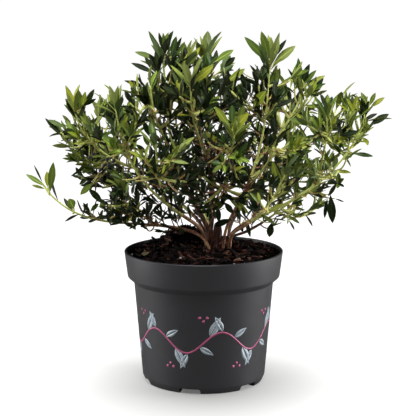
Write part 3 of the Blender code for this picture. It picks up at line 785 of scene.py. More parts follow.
@dataclass
class Branching:
    """Grows the side shoots that the solids have, and then finer twigs by the same rule."""

    plan: LimbPlan
    room: Room
    sight: Sight
    side: Habit = Habit((0.030, 0.052), 0.45, 0.75, 0.0014, 0.0085, 0.90, 48)
    twig: Habit = Habit((0.014, 0.030), 1.15, 0.55, 0.0010, 0.0010, 0.94, 18)
    side_shoots: int = 4
    twigs: tuple[int, int] = (27, 10)
    feet: Span = (0.10, 0.80)
    length_at_foot: float = 1.15
    length_loss: float = 0.45
    elbow: float = 0.45
    elbow_ease: float = 0.60
    lifts: Span = (0.15, 0.75)
    top_drop: float = 0.006
    stem_points: int = 5
    gap: float = 0.0003
    spur_from: float = 0.036
    spur_step: float = 0.0060
    spur_lengths: Span = (0.006, 0.015)
    spur_radius: float = 0.0007
    spur_jitter: float = 0.5
    stem_span: float = 0.1
    bough_span: float = 0.03
    side_young: float = 0.85
    twig_young_and_lit: Span = (0.22, 0.48)
    spur_young_and_lit: Span = (0.12, 0.40)

    @staticmethod
    def sprout(
        stem: Array, habit: Habit, share: float, near: float, turn: float, lift: float
    ) -> tuple[Array, Array, Array]:
        """A shoot's foot on a stem, and the ways it takes from there: out sideways, then up to the light.

        Args:
            stem: the line that it leaves.
            habit: how far it leans forward and sideways.
            share: how far along the stem its foot is.
            near: how far on either side the stem's direction is taken.
            turn: the angle round the stem.
            lift: how strongly it turns up.

        Returns:
            Its foot, its way out and its way up.
        """
        axis = unit(at_share(stem, share + near) - at_share(stem, share - near))
        side = beside(axis, turn)
        up = unit(habit.sideways * side + habit.forward * axis + UP * lift)
        return at_share(stem, share), unit(side + habit.forward * axis), up

    def bent(self, foot: Array, out: Array, up: Array, length: float, start: float = 0.0) -> Array:
        """The foot, elbow and tip of a shoot of that length that starts a little off its foot."""
        elbow = foot + (self.elbow * length + start) * out
        return np.array([foot, elbow, elbow + (1.0 - self.elbow) * length * up])

    def one_try(self, stem: Array, rng: random.Random, habit: Habit) -> Array:
        """One seeded shoot."""
        share = rng.uniform(*self.feet)
        turn, lift = rng.uniform(0.0, 2 * math.pi), rng.uniform(*self.lifts)
        length = rng.uniform(*habit.lengths) * (self.length_at_foot - self.length_loss * share)
        return self.bent(*self.sprout(stem, habit, share, self.stem_span, turn, lift), length)

    def eased(self, line: Array) -> Array:
        """A shoot with its elbow drawn in towards its chord, as a live shoot bends."""
        foot, elbow, tip = line
        return np.array([foot, elbow + self.elbow_ease * (foot + self.elbow * (tip - foot) - elbow), tip])

    def best_of(
        self, name: str, rng: random.Random, stems: list[Shoot], tips: list[Array], rank: Rank
    ) -> Array | None:
        """The roomiest of several tries.

        Args:
            name: the mass that the shoot belongs to.
            rng: seeded draws.
            stems: the stems that it may leave.
            tips: every tip that stands already.
            rank: a side shoot, or a twig.

        Returns:
            The shoot's foot, elbow and tip, or None where no try fits.
        """
        habit = self.side if rank is Rank.SIDE else self.twig
        top = stems[0].line[-1][2] - self.top_drop
        best, best_room = None, habit.tip_room
        for _ in range(habit.tries):
            stem = stems[0] if rank is Rank.SIDE else rng.choice(stems)
            line = self.one_try(stem.line, rng, habit)
            if line[-1][2] > top or not self.room.in_outline(line[-1], habit.outline_share):
                continue
            if not self.room.inside(name, line, habit.tip_room):
                continue
            if not all(self.room.clear_of_wood(name, a, b, habit.radius) for a, b in zip(line, line[1:])):
                continue
            space = min(np.linalg.norm(line[-1] - tip) for tip in tips)
            if space > best_room:
                best, best_room = line, space
        return best

    def twigs_of(self, name: str) -> int:
        """How many twigs a mass bears: most in the middle of the crown, fewest at its rim."""
        heart = self.room.hearts[self.room.names.index(name)]
        out = min(1.0, float(np.linalg.norm((heart[:2] - self.room.CENTRE) / self.room.SPREAD)))
        return round(self.twigs[0] + out * (self.twigs[1] - self.twigs[0]))

    def spurs_of(self, name: str) -> list[Shoot]:
        """Short spurs up a limb's bough, which bear the small leaves inside the crown."""
        line = self.plan.lines[name]
        below, _ = self.plan.below(line.limb)
        rng = random.Random(f"{name} spurs")
        length = line.length()
        ways = np.arange(max(self.spur_from - below, self.spur_step), line.limb.share * length, self.spur_step)
        spurs = []
        for number, way in enumerate(ways):
            turn = number * GOLDEN_ANGLE + rng.uniform(-self.spur_jitter, self.spur_jitter)
            lift = rng.uniform(*self.lifts)
            ways_out = self.sprout(line.path, self.side, way / length, self.bough_span, turn, lift)
            spur = self.bent(*ways_out, rng.uniform(*self.spur_lengths), line.limb.radius)
            clear = spur[-1][2] > self.room.HEIGHTS[0] and not self.sight.in_gap(spur[1:], 0.0)
            if clear and self.room.in_outline(spur[-1], self.twig.outline_share):
                # Painted shade: spurs deep in the crown get darker, browner bark, lit ones greener.
                young = self.spur_young_and_lit[0] + self.spur_young_and_lit[1] * self.room.light(spur[-1])
                spurs.append(Shoot(name, spur, self.spur_radius, Rank.SPUR, young))
        return spurs

    def grow(self) -> dict[str, list[Shoot]]:
        """Every mass's stems: its leading shoot, its side shoots, its twigs, then its bough's spurs."""
        shoots: dict[str, list[Shoot]] = {}
        tips: list[Array] = []
        for name, line in self.plan.lines.items():
            start = line.limb.share + self.gap / line.length()
            points, _ = line.stretch(start, 1.0, self.stem_points)
            shoots[name] = [Shoot(name, points, self.plan.tip_radius, Rank.LEADING, 1.0)]
            tips.append(points[-1])
        for number in range(self.side_shoots):
            for name, stems in shoots.items():
                rng = random.Random(f"{name} shoot {number}")
                best = self.best_of(name, rng, stems, tips, Rank.SIDE)
                if best is not None:
                    stems.append(Shoot(name, self.eased(best), self.side.radius, Rank.SIDE, self.side_young))
                    tips.append(best[-1])
        for number in range(self.twigs[0]):
            for name, stems in shoots.items():
                if number >= self.twigs_of(name):
                    continue
                rng = random.Random(f"{name} twig {number}")
                bearers = [stem for stem in stems if stem.rank is not Rank.TWIG]
                best = self.best_of(name, rng, bearers, tips, Rank.TWIG)
                if best is not None and not self.sight.in_gap(best[1:], 0.0):
                    # Painted shade: twigs inside the crown get darker, browner bark, lit ones greener.
                    young = self.twig_young_and_lit[0] + self.twig_young_and_lit[1] * self.room.light(best[-1])
                    stems.append(Shoot(name, best, self.twig.radius, Rank.TWIG, young))
                    tips.append(best[-1])
        for name, stems in shoots.items():
            stems += self.spurs_of(name)
        return shoots


@dataclass
class Tube:
    """Sweeps a round section along a line, with a relief on its surface."""

    sides: int

    def sweep(self, path: Array, radii: Array, relief: Array) -> tuple[Array, Faces]:
        """A closed tube.

        Args:
            path: its centre line.
            radii: its radius at each point.
            relief: a factor on the radius, one row a point and one column a side.

        Returns:
            Its vertices and faces.
        """
        tangents = np.gradient(path, axis=0)
        tangents /= np.linalg.norm(tangents, axis=1)[:, None]
        one, _ = across(tangents[0])
        rings = []
        angles = np.arange(self.sides) * 2 * math.pi / self.sides
        for point, tangent, radius, factor in zip(path, tangents, radii, relief):
            one = unit(one - tangent * (one @ tangent))
            two = np.cross(tangent, one)
            ring = np.cos(angles)[:, None] * one + np.sin(angles)[:, None] * two
            rings.append(point + radius * factor[:, None] * ring)
        points = np.vstack([*rings, path[0], path[-1] + tangents[-1] * radii[-1]])
        return points, self.faces(len(path))

    def faces(self, count: int) -> Faces:
        """Faces of a tube of that many rings, closed by a fan at each end."""
        faces = [face for ring in range(count - 1) for face in ring_faces(ring * self.sides, self.sides)]
        last, foot, tip = (count - 1) * self.sides, count * self.sides, count * self.sides + 1
        for side in range(self.sides):
            after = (side + 1) % self.sides
            faces += [(after, side, foot), (last + side, last + after, tip)]
        return faces

    def ages(self, age: Array) -> Array:
        """The age at each vertex, from the age at each ring."""
        return np.concatenate([np.repeat(age, self.sides), age[:1], age[-1:]])


@dataclass
class Wood:
    """The limbs and the root crown, with the relief of their bark."""

    plan: LimbPlan
    limb_rings: int = 56
    limb_sides: int = 10
    ridge_height: float = 0.10
    ridge_length: float = 0.020
    ridge_width: float = 2.2
    young_ridge: Span = (0.35, 0.65)
    seed_shift: float = 7.3
    node_height: float = 0.10
    node_spacing: float = 0.0105
    node_sharpness: int = 6
    collar_height: float = 0.40
    collar_length: float = 0.006
    green_from: float = -0.014
    green_rise: float = 0.0020
    green_over: float = 0.024
    green_lead: float = 1.6
    late_green: dict[str, float] = field(
        default_factory=lambda: {"left_low": 0.085, "right_low": 0.050, "right_low_front": 0.030, "left_front": 0.015}
    )
    slender: dict[str, float] = field(default_factory=lambda: {"left_low": 0.86, "top_right": 0.70})
    slim_ways: Span = (0.03, 0.10)
    slim_share: float = 0.78
    girth_slopes: Span = (30.0, 50.0)
    girths: Span = (0.82, 1.0)
    twins: tuple[str, ...] = ("left_front", "right_far", "right_low_front", "top_left", "back_left", "back_right")
    front_lit_age: float = 0.17
    back_shaded_age: float = 0.02
    twin_share: float = 0.72
    root_rings: Span = (0.0195, 0.0095)
    root_heights: Span = (0.009, 0.025)
    root_depth: float = 0.003
    root_joint: float = 0.034
    root_swing: float = 1.15
    root_swell: float = 0.55
    root_steps: int = 9
    root_reach: float = 0.42
    stump_rings: int = 26
    stump_sides: int = 60
    stump_flutes: int = 9
    stump_share: float = 0.44
    flute_depth: float = 0.24
    flute_twist: float = 1.1
    flute_middle: float = 0.6
    knot_scale: Span = (3.0, 5.0)
    knot_height: float = 0.10

    def relief(self, ways: Array, old: Array, collar_height: float, seed: int) -> Array:
        """Ridges along the bark, a swelling at each leaf scar, and a collar at the foot.

        Args:
            ways: how far each ring is from the limb's foot.
            old: how old the wood is at each ring, from 0 to 1.
            collar_height: how far the collar stands out, as a share of the radius.
            seed: shifts the pattern from limb to limb.

        Returns:
            A factor on the radius, one row a ring and one column a side.
        """
        rows = []
        for way, age in zip(ways, old):
            swelling = max(math.cos(2 * math.pi * way / self.node_spacing), 0.0) ** self.node_sharpness
            collar = collar_height * math.exp(-way / self.collar_length)
            row = []
            for side in range(self.limb_sides):
                angle = 2 * math.pi * side / self.limb_sides
                x, y = self.ridge_width * math.cos(angle), self.ridge_width * math.sin(angle)
                spot = Vector((x, y + self.seed_shift * seed, way / self.ridge_length))
                ridge = noise.noise(spot) * self.ridge_height * (self.young_ridge[0] + self.young_ridge[1] * age)
                leaning = 0.5 + 0.5 * math.cos(angle - GOLDEN_ANGLE * round(way / self.node_spacing))
                row.append(1.0 + ridge + collar + self.node_height * swelling * leaning)
            rows.append(row)
        return np.array(rows)

    def girth(self, limb: Limb) -> float:
        """The bark's radius as a share of the plan's: the flatter a limb leaves, the slimmer it is."""
        share = float(np.interp(limb.leave_deg, self.girth_slopes, self.girths))
        return self.slender.get(limb.name, share)

    def rooted(self, line: LimbLine, stem_name: str) -> LimbLine:
        """A limb of the root crown with a stem of its own down into the soil, in place of its foot."""
        stump, limb = self.plan.stump, line.limb
        rng = random.Random(f"{limb.name} {stem_name}")
        joint = int(np.searchsorted(np.cumsum(steps_of(line.path)), self.root_joint)) + 1
        outward = unit((line.path[joint] - stump.foot) * (1.0, 1.0, 0.0))
        outward = turned_about(outward, UP, rng.uniform(-self.root_swing, self.root_swing))
        ring = float(np.interp(limb.where, self.root_heights, self.root_rings))
        foot = stump.foot + outward * ring - UP * self.root_depth
        end = line.path[joint]
        reach = self.root_reach * np.linalg.norm(end - foot)
        meet = end - reach * unit(line.path[joint + 1] - end)
        stem = cubic(foot, foot + reach * UP, meet, end, self.root_steps - 1)[:-1]
        thick = np.linspace(line.radii[0] * self.root_swell, line.radii[joint], self.root_steps)[:-1]
        return LimbLine(limb, np.vstack([stem, line.path[joint:]]), np.concatenate([thick, line.radii[joint:]]))

    def build_limbs(self, material: Material) -> Piece:
        """Every limb from the soil or its parent to its leading tip, in one piece."""
        pile, tube = Pile(), Tube(self.limb_sides)
        for seed, line in enumerate(self.plan.lines.values()):
            below, first = self.plan.below(line.limb)
            collar = self.collar_height
            girth = self.girth(line.limb)
            stems = [line]
            if first is line.limb:
                collar = 0.0
                stems = [self.rooted(line, "root")]
                if line.limb.name in self.twins:
                    twin = self.rooted(line, "twin")
                    end = self.root_steps + 1
                    stems.append(LimbLine(line.limb, twin.path[:end], self.twin_share * twin.radii[:end]))
            for stem in stems:
                path, radii = stem.stretch(0.0, 1.0, self.limb_rings)
                ways = ways_along(path)
                green_from = self.green_from + self.green_rise * first.leave_deg + self.late_green.get(first.name, 0.0)
                # Painted shade: limbs whose tips stand at the back keep the darkest bark, while those at the front
                # never go below a lighter brown.
                least = self.front_lit_age if first.tip[1] < 0.0 else self.back_shaded_age
                age = np.clip((self.green_lead * below + ways - green_from) / self.green_over, least, 1.0)
                radii = girth * radii * np.interp(below + ways, self.slim_ways, (1.0, self.slim_share))
                points, faces = tube.sweep(path, radii, self.relief(ways, 1.0 - age, collar, seed))
                pile.add(points, faces, age=tube.ages(age))
        return pile.build("limbs", [material], sharp_deg=60.0)

    def build_stump(self, material: Material) -> Piece:
        """The root crown: grown-together stems, so its surface is fluted from the soil up."""
        points, radii = self.plan.stump.line()
        grid = np.linspace(0.0, 1.0, len(points))
        shares = np.linspace(0.0, 1.0, self.stump_rings)
        radius = np.interp(shares, grid, radii) * self.stump_share
        rows = []
        for share in shares:
            row = []
            for side in range(self.stump_sides):
                angle = 2 * math.pi * side / self.stump_sides
                flute = abs(math.cos(0.5 * self.stump_flutes * angle + self.flute_twist * share))
                knots, along = self.knot_scale
                spot = Vector((knots * math.cos(angle), knots * math.sin(angle), along * share))
                bark = self.flute_depth * (flute - self.flute_middle)
                row.append(1.0 + bark + self.knot_height * noise.noise(spot))
            rows.append(row)
        path = spread_out(points, self.stump_rings)
        swept, faces = Tube(self.stump_sides).sweep(path, radius, np.array(rows))
        pile = Pile()
        pile.add(swept, faces, age=np.zeros(len(swept)))
        return pile.build("root_crown_bark", [material], sharp_deg=60.0)


@dataclass(frozen=True)
class Leaf:
    """One leaf: where it sits on its shoot, how it opens and curves, and its tint."""

    root: Array
    axis: Array
    side: Array
    opening: float
    length: float
    width: float
    roll: float
    bend: float
    fold: float
    age: LeafAgeAndShade
    tint: int

    def frame(self) -> tuple[Array, Array, Array]:
        """Unit vectors across the leaf, out of its upper face, and along it at its root."""
        along = math.cos(self.opening) * self.axis + math.sin(self.opening) * self.side
        face = math.sin(self.opening) * self.axis - math.cos(self.opening) * self.side
        face = turned_about(face, along, self.roll)
        return unit(np.cross(face, along)), face, along

    def tip(self) -> Array:
        """The leaf's tip, on a straight line from its root."""
        return self.root + self.length * self.frame()[2]


@dataclass
class LeafShape:
    """The blade's own outline: a narrow ellipse on a short stalk, with a paler rib."""

    stations: tuple[float, ...] = (0.07, 0.22, 0.40, 0.58, 0.76, 0.91)
    widths: tuple[float, ...] = (0.13, 0.50, 0.88, 1.0, 0.79, 0.38)
    rib: tuple[float, ...] = (0.060, 0.075, 0.065, 0.050, 0.035, 0.020)
    rib_width: float = 1.6
    thickness: float = 0.0006
    columns: int = 5
    least_bend: float = 0.0001

    def faces(self) -> tuple[Faces, list[int]]:
        """Faces of one leaf, and the material number of each: blade 0, rib 1, underside 2."""
        kinds = (0, 1, 0, 2, 2)
        count, wide = len(self.stations), self.columns
        root, tip = count * wide, count * wide + 1
        faces, slots = [], []
        for ring in range(count - 1):
            faces += ring_faces(ring * wide, wide)
            slots += kinds
        last = (count - 1) * wide
        for column, kind in enumerate(kinds):
            after = (column + 1) % wide
            faces += [(after, column, root), (last + column, last + after, tip)]
            slots += [kind, kind]
        return faces, slots

    def points(self, leaf: Leaf) -> Array:
        """Vertices of one leaf, bent down along its length and folded up along its rib."""
        width, face, along = leaf.frame()
        s = np.array((*self.stations, 0.0, 1.0))
        turn = leaf.bend * s
        bend = leaf.bend if abs(leaf.bend) > self.least_bend else self.least_bend
        forward = leaf.length * np.sin(bend * s) / bend
        drop = leaf.length * (1.0 - np.cos(bend * s)) / bend
        spine = leaf.root + forward[:, None] * along - drop[:, None] * face
        normal = np.cos(turn)[:, None] * face + np.sin(turn)[:, None] * along
        rings = []
        half = leaf.width / 2
        for row, (share, rib) in enumerate(zip(self.widths, self.rib)):
            reach = half * share
            strip = half * rib * self.rib_width
            up = reach * math.sin(leaf.fold)
            flat = reach * math.cos(leaf.fold)
            thick = self.thickness * (0.5 + share / 2)
            centre, lift = spine[row], normal[row]
            rings += [
                centre - flat * width + up * lift,
                centre - strip * width + strip * lift,
                centre + strip * width + strip * lift,
                centre + flat * width + up * lift,
                centre - thick * lift,
            ]
        return np.vstack([*rings, spine[-2], spine[-1]])


@dataclass
class LeafRule:
    """Where leaves stand on a shoot: a whorl round its tip, then a spiral down it."""

    plan: LimbPlan
    room: Room
    sight: Sight
    whorl_counts: dict[Rank, int] = by_rank(8, 6, 5, 4)
    lengths: dict[Rank, float] = by_rank(0.0415, 0.0350, 0.0290, 0.0245)
    inner_lengths: dict[Rank, float] = by_rank(0.90, 0.84, 0.88, 0.92)
    newness: dict[Rank, float] = by_rank(0.97, 0.80, 0.60, 0.22)
    leading_newness: float = 0.70
    new_lights: Span = (0.46, 0.70)
    old_lights: Span = (0.44, 0.86)
    old_chances: Span = (0.96, 0.34)
    older_draws: dict[LeafAgeAndShade, tuple[float, ...]] = field(
        default_factory=lambda: {NEW: (0.36, 0.76), MATURE: (0.0, 0.60), OLD: (0.0, 0.0)}
    )
    shade_lights: Span = (0.35, 0.80)
    bare_tips: tuple[str, ...] = ("left_low", "right_far", "upper_right")
    vigours: Span = (0.86, 1.0)
    vigour_radii: Span = (0.0020, 0.0038)
    size_heights: Span = (0.315, 0.375)
    size_by_height: Span = (0.86, 1.02)
    openings: Span = (8.0, 42.0)
    opening_spread: float = 8.0
    lower_openings: Span = (28.0, 62.0)
    whorl_start: float = 0.0006
    whorl_step: float = 0.0011
    spiral_step: float = 0.0075
    spiral_to: float = 0.20
    spiral_sizes: Span = (0.88, 0.56)
    sizes: Span = (0.82, 1.12)
    width_shares: Span = (0.220, 0.320)
    rise: float = 0.45
    rolls: float = 0.35
    bends: Span = (-0.10, 0.50)
    folds: Span = (0.12, 0.50)
    jitter: float = 0.22
    eases: tuple[float, ...] = (1.0, 0.7, 0.4)
    outline_share: float = 1.07
    wood_from: float = 0.25
    clear_share: float = 0.25
    hiding_part: float = 3.0
    shown_from: float = 0.35
    inner_ring: int = 2
    inner_sizes: Span = (0.80, 0.20)
    inner_growth: float = 2.2
    shade_mix: float = 0.30
    gap_tests: int = 4
    gap_share: float = 0.20

    def age_and_shade_of(self, shoot: Shoot, rng: random.Random) -> LeafAgeAndShade:
        """The age of a shoot's leaves: new ones stand at the top and the sides, old ones inside. This paints light and
        shade: light new tints where the crown is lit, near-black old ones where it is shaded.
        """
        light = self.room.light(shoot.line[-1])
        chance_new = self.newness[shoot.rank] * float(np.interp(light, self.new_lights, (0.0, 1.0)))
        if shoot.rank is Rank.LEADING:
            chance_new = max(chance_new, self.leading_newness)
        chance_old = float(np.interp(light, self.old_lights, self.old_chances))
        if rng.random() < chance_new:
            return NEW
        return OLD if rng.random() < chance_old else MATURE

    def length_of(self, shoot: Shoot) -> float:
        """The length of a shoot's leaves: less on weak limbs and inside the crown."""
        vigour = np.interp(self.plan.lines[shoot.mass].limb.radius, self.vigour_radii, self.vigours)
        inner = self.inner_lengths[shoot.rank]
        shade = np.interp(self.room.light(shoot.line[-1]), self.shade_lights, (inner, 1.0))
        height = np.interp(shoot.line[-1][2], self.size_heights, self.size_by_height)
        return float(self.lengths[shoot.rank] * vigour * shade * height)

    def leaves_of(self, shoot: Shoot, rng: random.Random) -> list[Leaf]:
        """The leaves of one shoot that find room."""
        line = shoot.line
        axis = unit(unit(line[-1] - line[-2]) + self.rise * UP)
        turn = rng.uniform(0.0, 2 * math.pi)
        age, tint = self.age_and_shade_of(shoot, rng), rng.randrange(LEAF_TINTS)
        length = self.length_of(shoot)
        bare = shoot.rank is Rank.LEADING and shoot.mass in self.bare_tips
        count = self.whorl_counts[shoot.rank]
        lower = max(int(steps_of(line).sum() * (1.0 - self.spiral_to) / self.spiral_step), 1)
        leaves = []
        for index in range(count if bare else 0, count + lower):
            angle = turn + index * GOLDEN_ANGLE + rng.uniform(-self.jitter, self.jitter)
            size = rng.uniform(*self.sizes)
            width = rng.uniform(*self.width_shares)
            roll, bend = rng.uniform(-self.rolls, self.rolls), rng.uniform(*self.bends)
            fold, spread = rng.uniform(*self.folds), rng.uniform(-self.opening_spread, self.opening_spread)
            lean = rng.uniform(*self.lower_openings)
            if index < count:
                share = index / (count - 1)
                opening = self.openings[0] + share * (self.openings[1] - self.openings[0]) + spread
                size *= self.inner_sizes[0] + self.inner_sizes[1] * min(1.0, share * self.inner_growth)
                back = self.whorl_start + index * self.whorl_step
                # Painted shade: past the inner ring some whorl leaves take the next darker tint, as if shaded by their
                # neighbours.
                mixed = index >= self.inner_ring and rng.random() < self.shade_mix
                leaf_age = (MATURE if age is NEW else OLD) if mixed else age
                leaf_tint = tint
            else:
                opening = lean
                size *= np.interp((index - count) / max(lower, 2), (0.0, 1.0), self.spiral_sizes)
                back = self.whorl_start + count * self.whorl_step + (index - count + 0.5) * self.spiral_step
                leaf_age, leaf_tint = self.older(age, rng), rng.randrange(LEAF_TINTS)
            root, root_axis = self.down(line, back)
            stands = axis if index < count else root_axis
            long, opening = length * size, math.radians(opening)
            pose = (root, stands, beside(stands, angle), opening, long, long * width, roll, bend, fold)
            leaf = self.fitted(Leaf(*pose, leaf_age, leaf_tint), shoot)
            if leaf is not None:
                leaves.append(leaf)
        return leaves

    def older(self, age: LeafAgeAndShade, rng: random.Random) -> LeafAgeAndShade:
        """The age of a leaf lower on a shoot whose tip is of that age."""
        draw, (new, mature) = rng.random(), self.older_draws[age]
        return NEW if draw < new else MATURE if draw < mature else OLD

    @staticmethod
    def down(line: Array, back: float) -> tuple[Array, Array]:
        """The point that far down a shoot from its tip, and the shoot's direction there."""
        for high, low in zip(line[::-1], line[-2::-1]):
            length = np.linalg.norm(high - low)
            if back <= length:
                return high + (low - high) * back / length, unit(high - low)
            back -= length
        return line[0], unit(line[1] - line[0])

    def fitted(self, leaf: Leaf, shoot: Shoot) -> Leaf | None:
        """The leaf, drawn in towards its shoot as far as the wood and the outline ask, or None."""
        for ease in self.eases:
            eased = replace(leaf, opening=leaf.opening * ease)
            tip = eased.tip()
            if tip[2] < self.room.HEIGHTS[0] or eased.root[2] < self.room.HEIGHTS[0]:
                continue
            leading = shoot.rank is Rank.LEADING
            if not leading and not self.room.in_outline(tip, self.outline_share):
                continue
            start = eased.root + self.wood_from * (tip - eased.root)
            if not self.room.clear_of_wood(shoot.mass, start, tip, self.clear_share * eased.width):
                continue
            start = eased.root + self.shown_from * (tip - eased.root)
            if self.sight.in_gap(np.linspace(start, tip, self.gap_tests), self.gap_share * eased.width):
                continue
            if self.sight.hides_stem(start, tip, eased.width / self.hiding_part):
                continue
            return eased
        return None


@dataclass(frozen=True)
class LoneLeaf:
    """A leaf that the photograph shows by itself: where it is rooted, its tip and its width."""

    root: Array
    tip: Array
    width: float
    age: LeafAgeAndShade
    bend: float = 0.15
    fold: float = 0.20
    upward: float = 0.5

    def leaf(self, tint: int) -> Leaf:
        """The leaf, with its upper face turned towards the view and a little up."""
        along = unit(self.tip - self.root)
        towards = unit(EYE - self.root) + self.upward * UP
        face = unit(towards - along * (along @ towards))
        length = float(np.linalg.norm(self.tip - self.root))
        return Leaf(self.root, along, -face, 0.0, length, self.width, 0.0, self.bend, self.fold, self.age, tint)


def lone_leaf(*row: float | LeafAgeAndShade) -> LoneLeaf:
    """A lone leaf: its root, its tip and its width in tenths of a millimetre, its age, and perhaps its bend."""
    sizes = np.array(row[:7]) / TENTHS_IN_METRE
    return LoneLeaf(sizes[:3], sizes[3:6], sizes[6], *row[7:])


# The lone leaves' ages also paint light and shade: the new ones are lit leaves, the old ones shaded leaves in
# near-black tints.
LONE_LEAVES = [
    lone_leaf(*row)
    for row in (
        (745, -280, 3825, 476, -320, 4130, 95, MATURE), (755, -280, 3870, 665, -340, 4185, 95, MATURE),
        (780, -280, 3850, 947, -320, 4097, 60, OLD), (785, -280, 3790, 1051, -320, 4029, 105, NEW),
        (-560, 0, 3680, -845, -40, 3819, 70, OLD), (-530, 0, 3850, -803, -40, 3947, 70, MATURE),
        (-510, 0, 3920, -637, -40, 4185, 55, MATURE), (-470, 0, 3930, -520, -40, 4165, 50, OLD),
        (-455, 0, 3920, -470, -40, 4160, 50, MATURE), (-420, 0, 3910, -390, -40, 4165, 40, OLD),
        (-380, 0, 3880, -320, -60, 4120, 75, MATURE), (-360, 0, 3880, -260, -60, 4110, 50, OLD),
        (-340, 0, 3860, -220, -60, 4060, 45, MATURE), (-1290, -300, 2430, -1440, -340, 2300, 80, MATURE),
        (120, 200, 3800, 350, 160, 3960, 90, NEW), (240, 200, 3740, 370, 160, 3870, 80, OLD),
        (260, 0, 3570, 480, -60, 3750, 85, NEW), (430, 0, 3720, 500, -60, 3510, 70, OLD, 0.3),
        (1150, 180, 3520, 1120, 140, 3860, 75, MATURE), (1155, 180, 3530, 1250, 140, 3790, 80, OLD),
        (1160, 180, 3515, 1330, 140, 3720, 70, MATURE), (1165, 180, 3500, 1440, 140, 3660, 70, NEW),
        (1140, 180, 3510, 1000, 140, 3740, 35, OLD), (-1440, -200, 3250, -1450, -240, 3510, 95, MATURE),
        (-1425, -200, 3260, -1370, -240, 3490, 70, NEW), (-1390, -200, 3300, -1270, -240, 3520, 70, OLD),
        (-1380, -200, 3320, -1250, -220, 3410, 45, OLD), (-1450, -200, 3270, -1600, -240, 3410, 55, MATURE),
        (-610, -600, 2870, -680, -640, 3050, 65, MATURE), (-600, -600, 2900, -550, -640, 3100, 70, OLD),
        (-610, -600, 3000, -680, -640, 3190, 70, OLD), (-560, -600, 3020, -600, -640, 3240, 65, NEW),
        (-640, -580, 2800, -760, -620, 2920, 60, OLD), (240, -400, 2220, 340, -500, 2110, 75, OLD, 0.3),
        (160, -400, 2180, 180, -480, 2000, 70, OLD, 0.3), (260, -400, 2280, 160, -460, 2140, 65, MATURE, 0.3),
        (220, -420, 2320, 360, -480, 2260, 65, OLD, 0.3), (1945, -100, 3290, 2111, -140, 3420, 62, NEW),
        (1940, -100, 3310, 2000, -160, 3470, 58, NEW), (1930, -100, 3300, 1840, -140, 3475, 60, NEW),
        (1935, -100, 3270, 1780, -140, 3390, 55, MATURE), (1940, -110, 3080, 2162, -160, 3229, 92, OLD),
        (1740, -120, 2755, 1996, -160, 2733, 60, MATURE), (-1640, -200, 2950, -1842, -220, 3186, 60, OLD),
        (-1600, -200, 3060, -1813, -220, 3168, 60, MATURE), (-1810, -160, 2300, -1760, -220, 2660, 90, MATURE),
        (-1860, -140, 2360, -2090, -160, 2520, 65, NEW), (-1900, -120, 2400, -2000, -100, 2620, 26, OLD),
        (-1870, -120, 2330, -2040, -80, 2380, 40, NEW), (-1840, -120, 2340, -1850, -100, 2540, 70, NEW),
        (-1530, -180, 2100, -1580, -220, 2230, 110, NEW), (-1420, -140, 2060, -1370, -160, 2170, 50, MATURE),
        (-1340, -180, 2070, -1240, -200, 2170, 60, MATURE), (-1180, -200, 2170, -1340, -240, 2350, 85, OLD),
        (-1080, -200, 2120, -1120, -220, 1940, 105, OLD, 0.3), (-1170, -220, 2100, -1200, -260, 2200, 85, NEW),
        (-820, -220, 2010, -780, -260, 2120, 85, NEW), (800, -280, 1960, 770, -320, 1790, 90, OLD),
        (430, -300, 1950, 460, -320, 1850, 45, OLD), (330, -280, 2000, 120, -340, 1930, 85, OLD, 0.3),
        (290, -300, 2240, 540, -340, 2080, 80, NEW, 0.2), (730, -300, 2090, 960, -320, 2190, 60, NEW),
        (490, -300, 2020, 550, -340, 1790, 52, OLD, 0.1), (660, -300, 2060, 840, -340, 1960, 55, MATURE, 0.3),
        (980, -300, 2050, 1130, -340, 1960, 45, MATURE, 0.2), (1490, -220, 2290, 1520, -260, 1940, 105, OLD, 0.2),
        (1460, -180, 2240, 1420, -220, 1990, 50, OLD, 0.4), (1000, -200, 1980, 1100, -200, 1840, 28, OLD, 0.7),
        (1190, -200, 2050, 1320, -220, 1890, 30, OLD, 0.8), (1540, -200, 2230, 1660, -200, 2190, 22, OLD),
        (-15, -920, 3259, 161, -1100, 3507, 105, NEW), (-48, -940, 3339, -91, -1040, 3480, 90, NEW),
        (303, -1180, 3152, 128, -1240, 3409, 85, NEW), (293, -1180, 3109, 486, -1260, 3335, 110, NEW),
        (315, -1120, 3201, 315, -1120, 3410, 80, MATURE), (382, -1080, 3208, 447, -1080, 3407, 80, MATURE),
        (571, -340, 3309, 704, -440, 3512, 115, NEW), (242, -880, 2931, 8, -960, 3107, 62, NEW, 0.2),
        (253, -880, 2829, 375, -960, 2940, 68, NEW), (528, -360, 2508, 410, -420, 2586, 85, NEW),
        (839, -860, 2521, 777, -940, 2758, 85, NEW), (-124, -1040, 3634, 107, -1100, 3845, 100, NEW),
    )
]
FALLEN_LEAF = lone_leaf(-625, -300, 1605, -745, -360, 1590, 50, OLD, 0.3)
LONE_STEMS = [
    Shoot("left_low", np.array(line) / TENTHS_IN_METRE, 0.0011, Rank.TWIG, 0.95)
    for line in (
        ((-1815, -140, 2260), (-1855, -138, 2330), (-1915, -125, 2410)),
        ((-1815, -140, 2260), (-1825, -150, 2310), (-1830, -150, 2370)),
        ((-1540, -160, 2040), (-1535, -170, 2080), (-1530, -180, 2110)),
    )
]
BUD_PLACES = [
    tuple(number / MM_IN_METRE for number in place)
    for place in (
        (-133, -30, 273), (-129, -30, 277), (-126, -31, 276), (-121, -20, 257), (-117, -20, 262),
        (-113, -20, 270), (-108, -20, 272), (-105, -21, 268), (-111, -21, 263),
    )
]


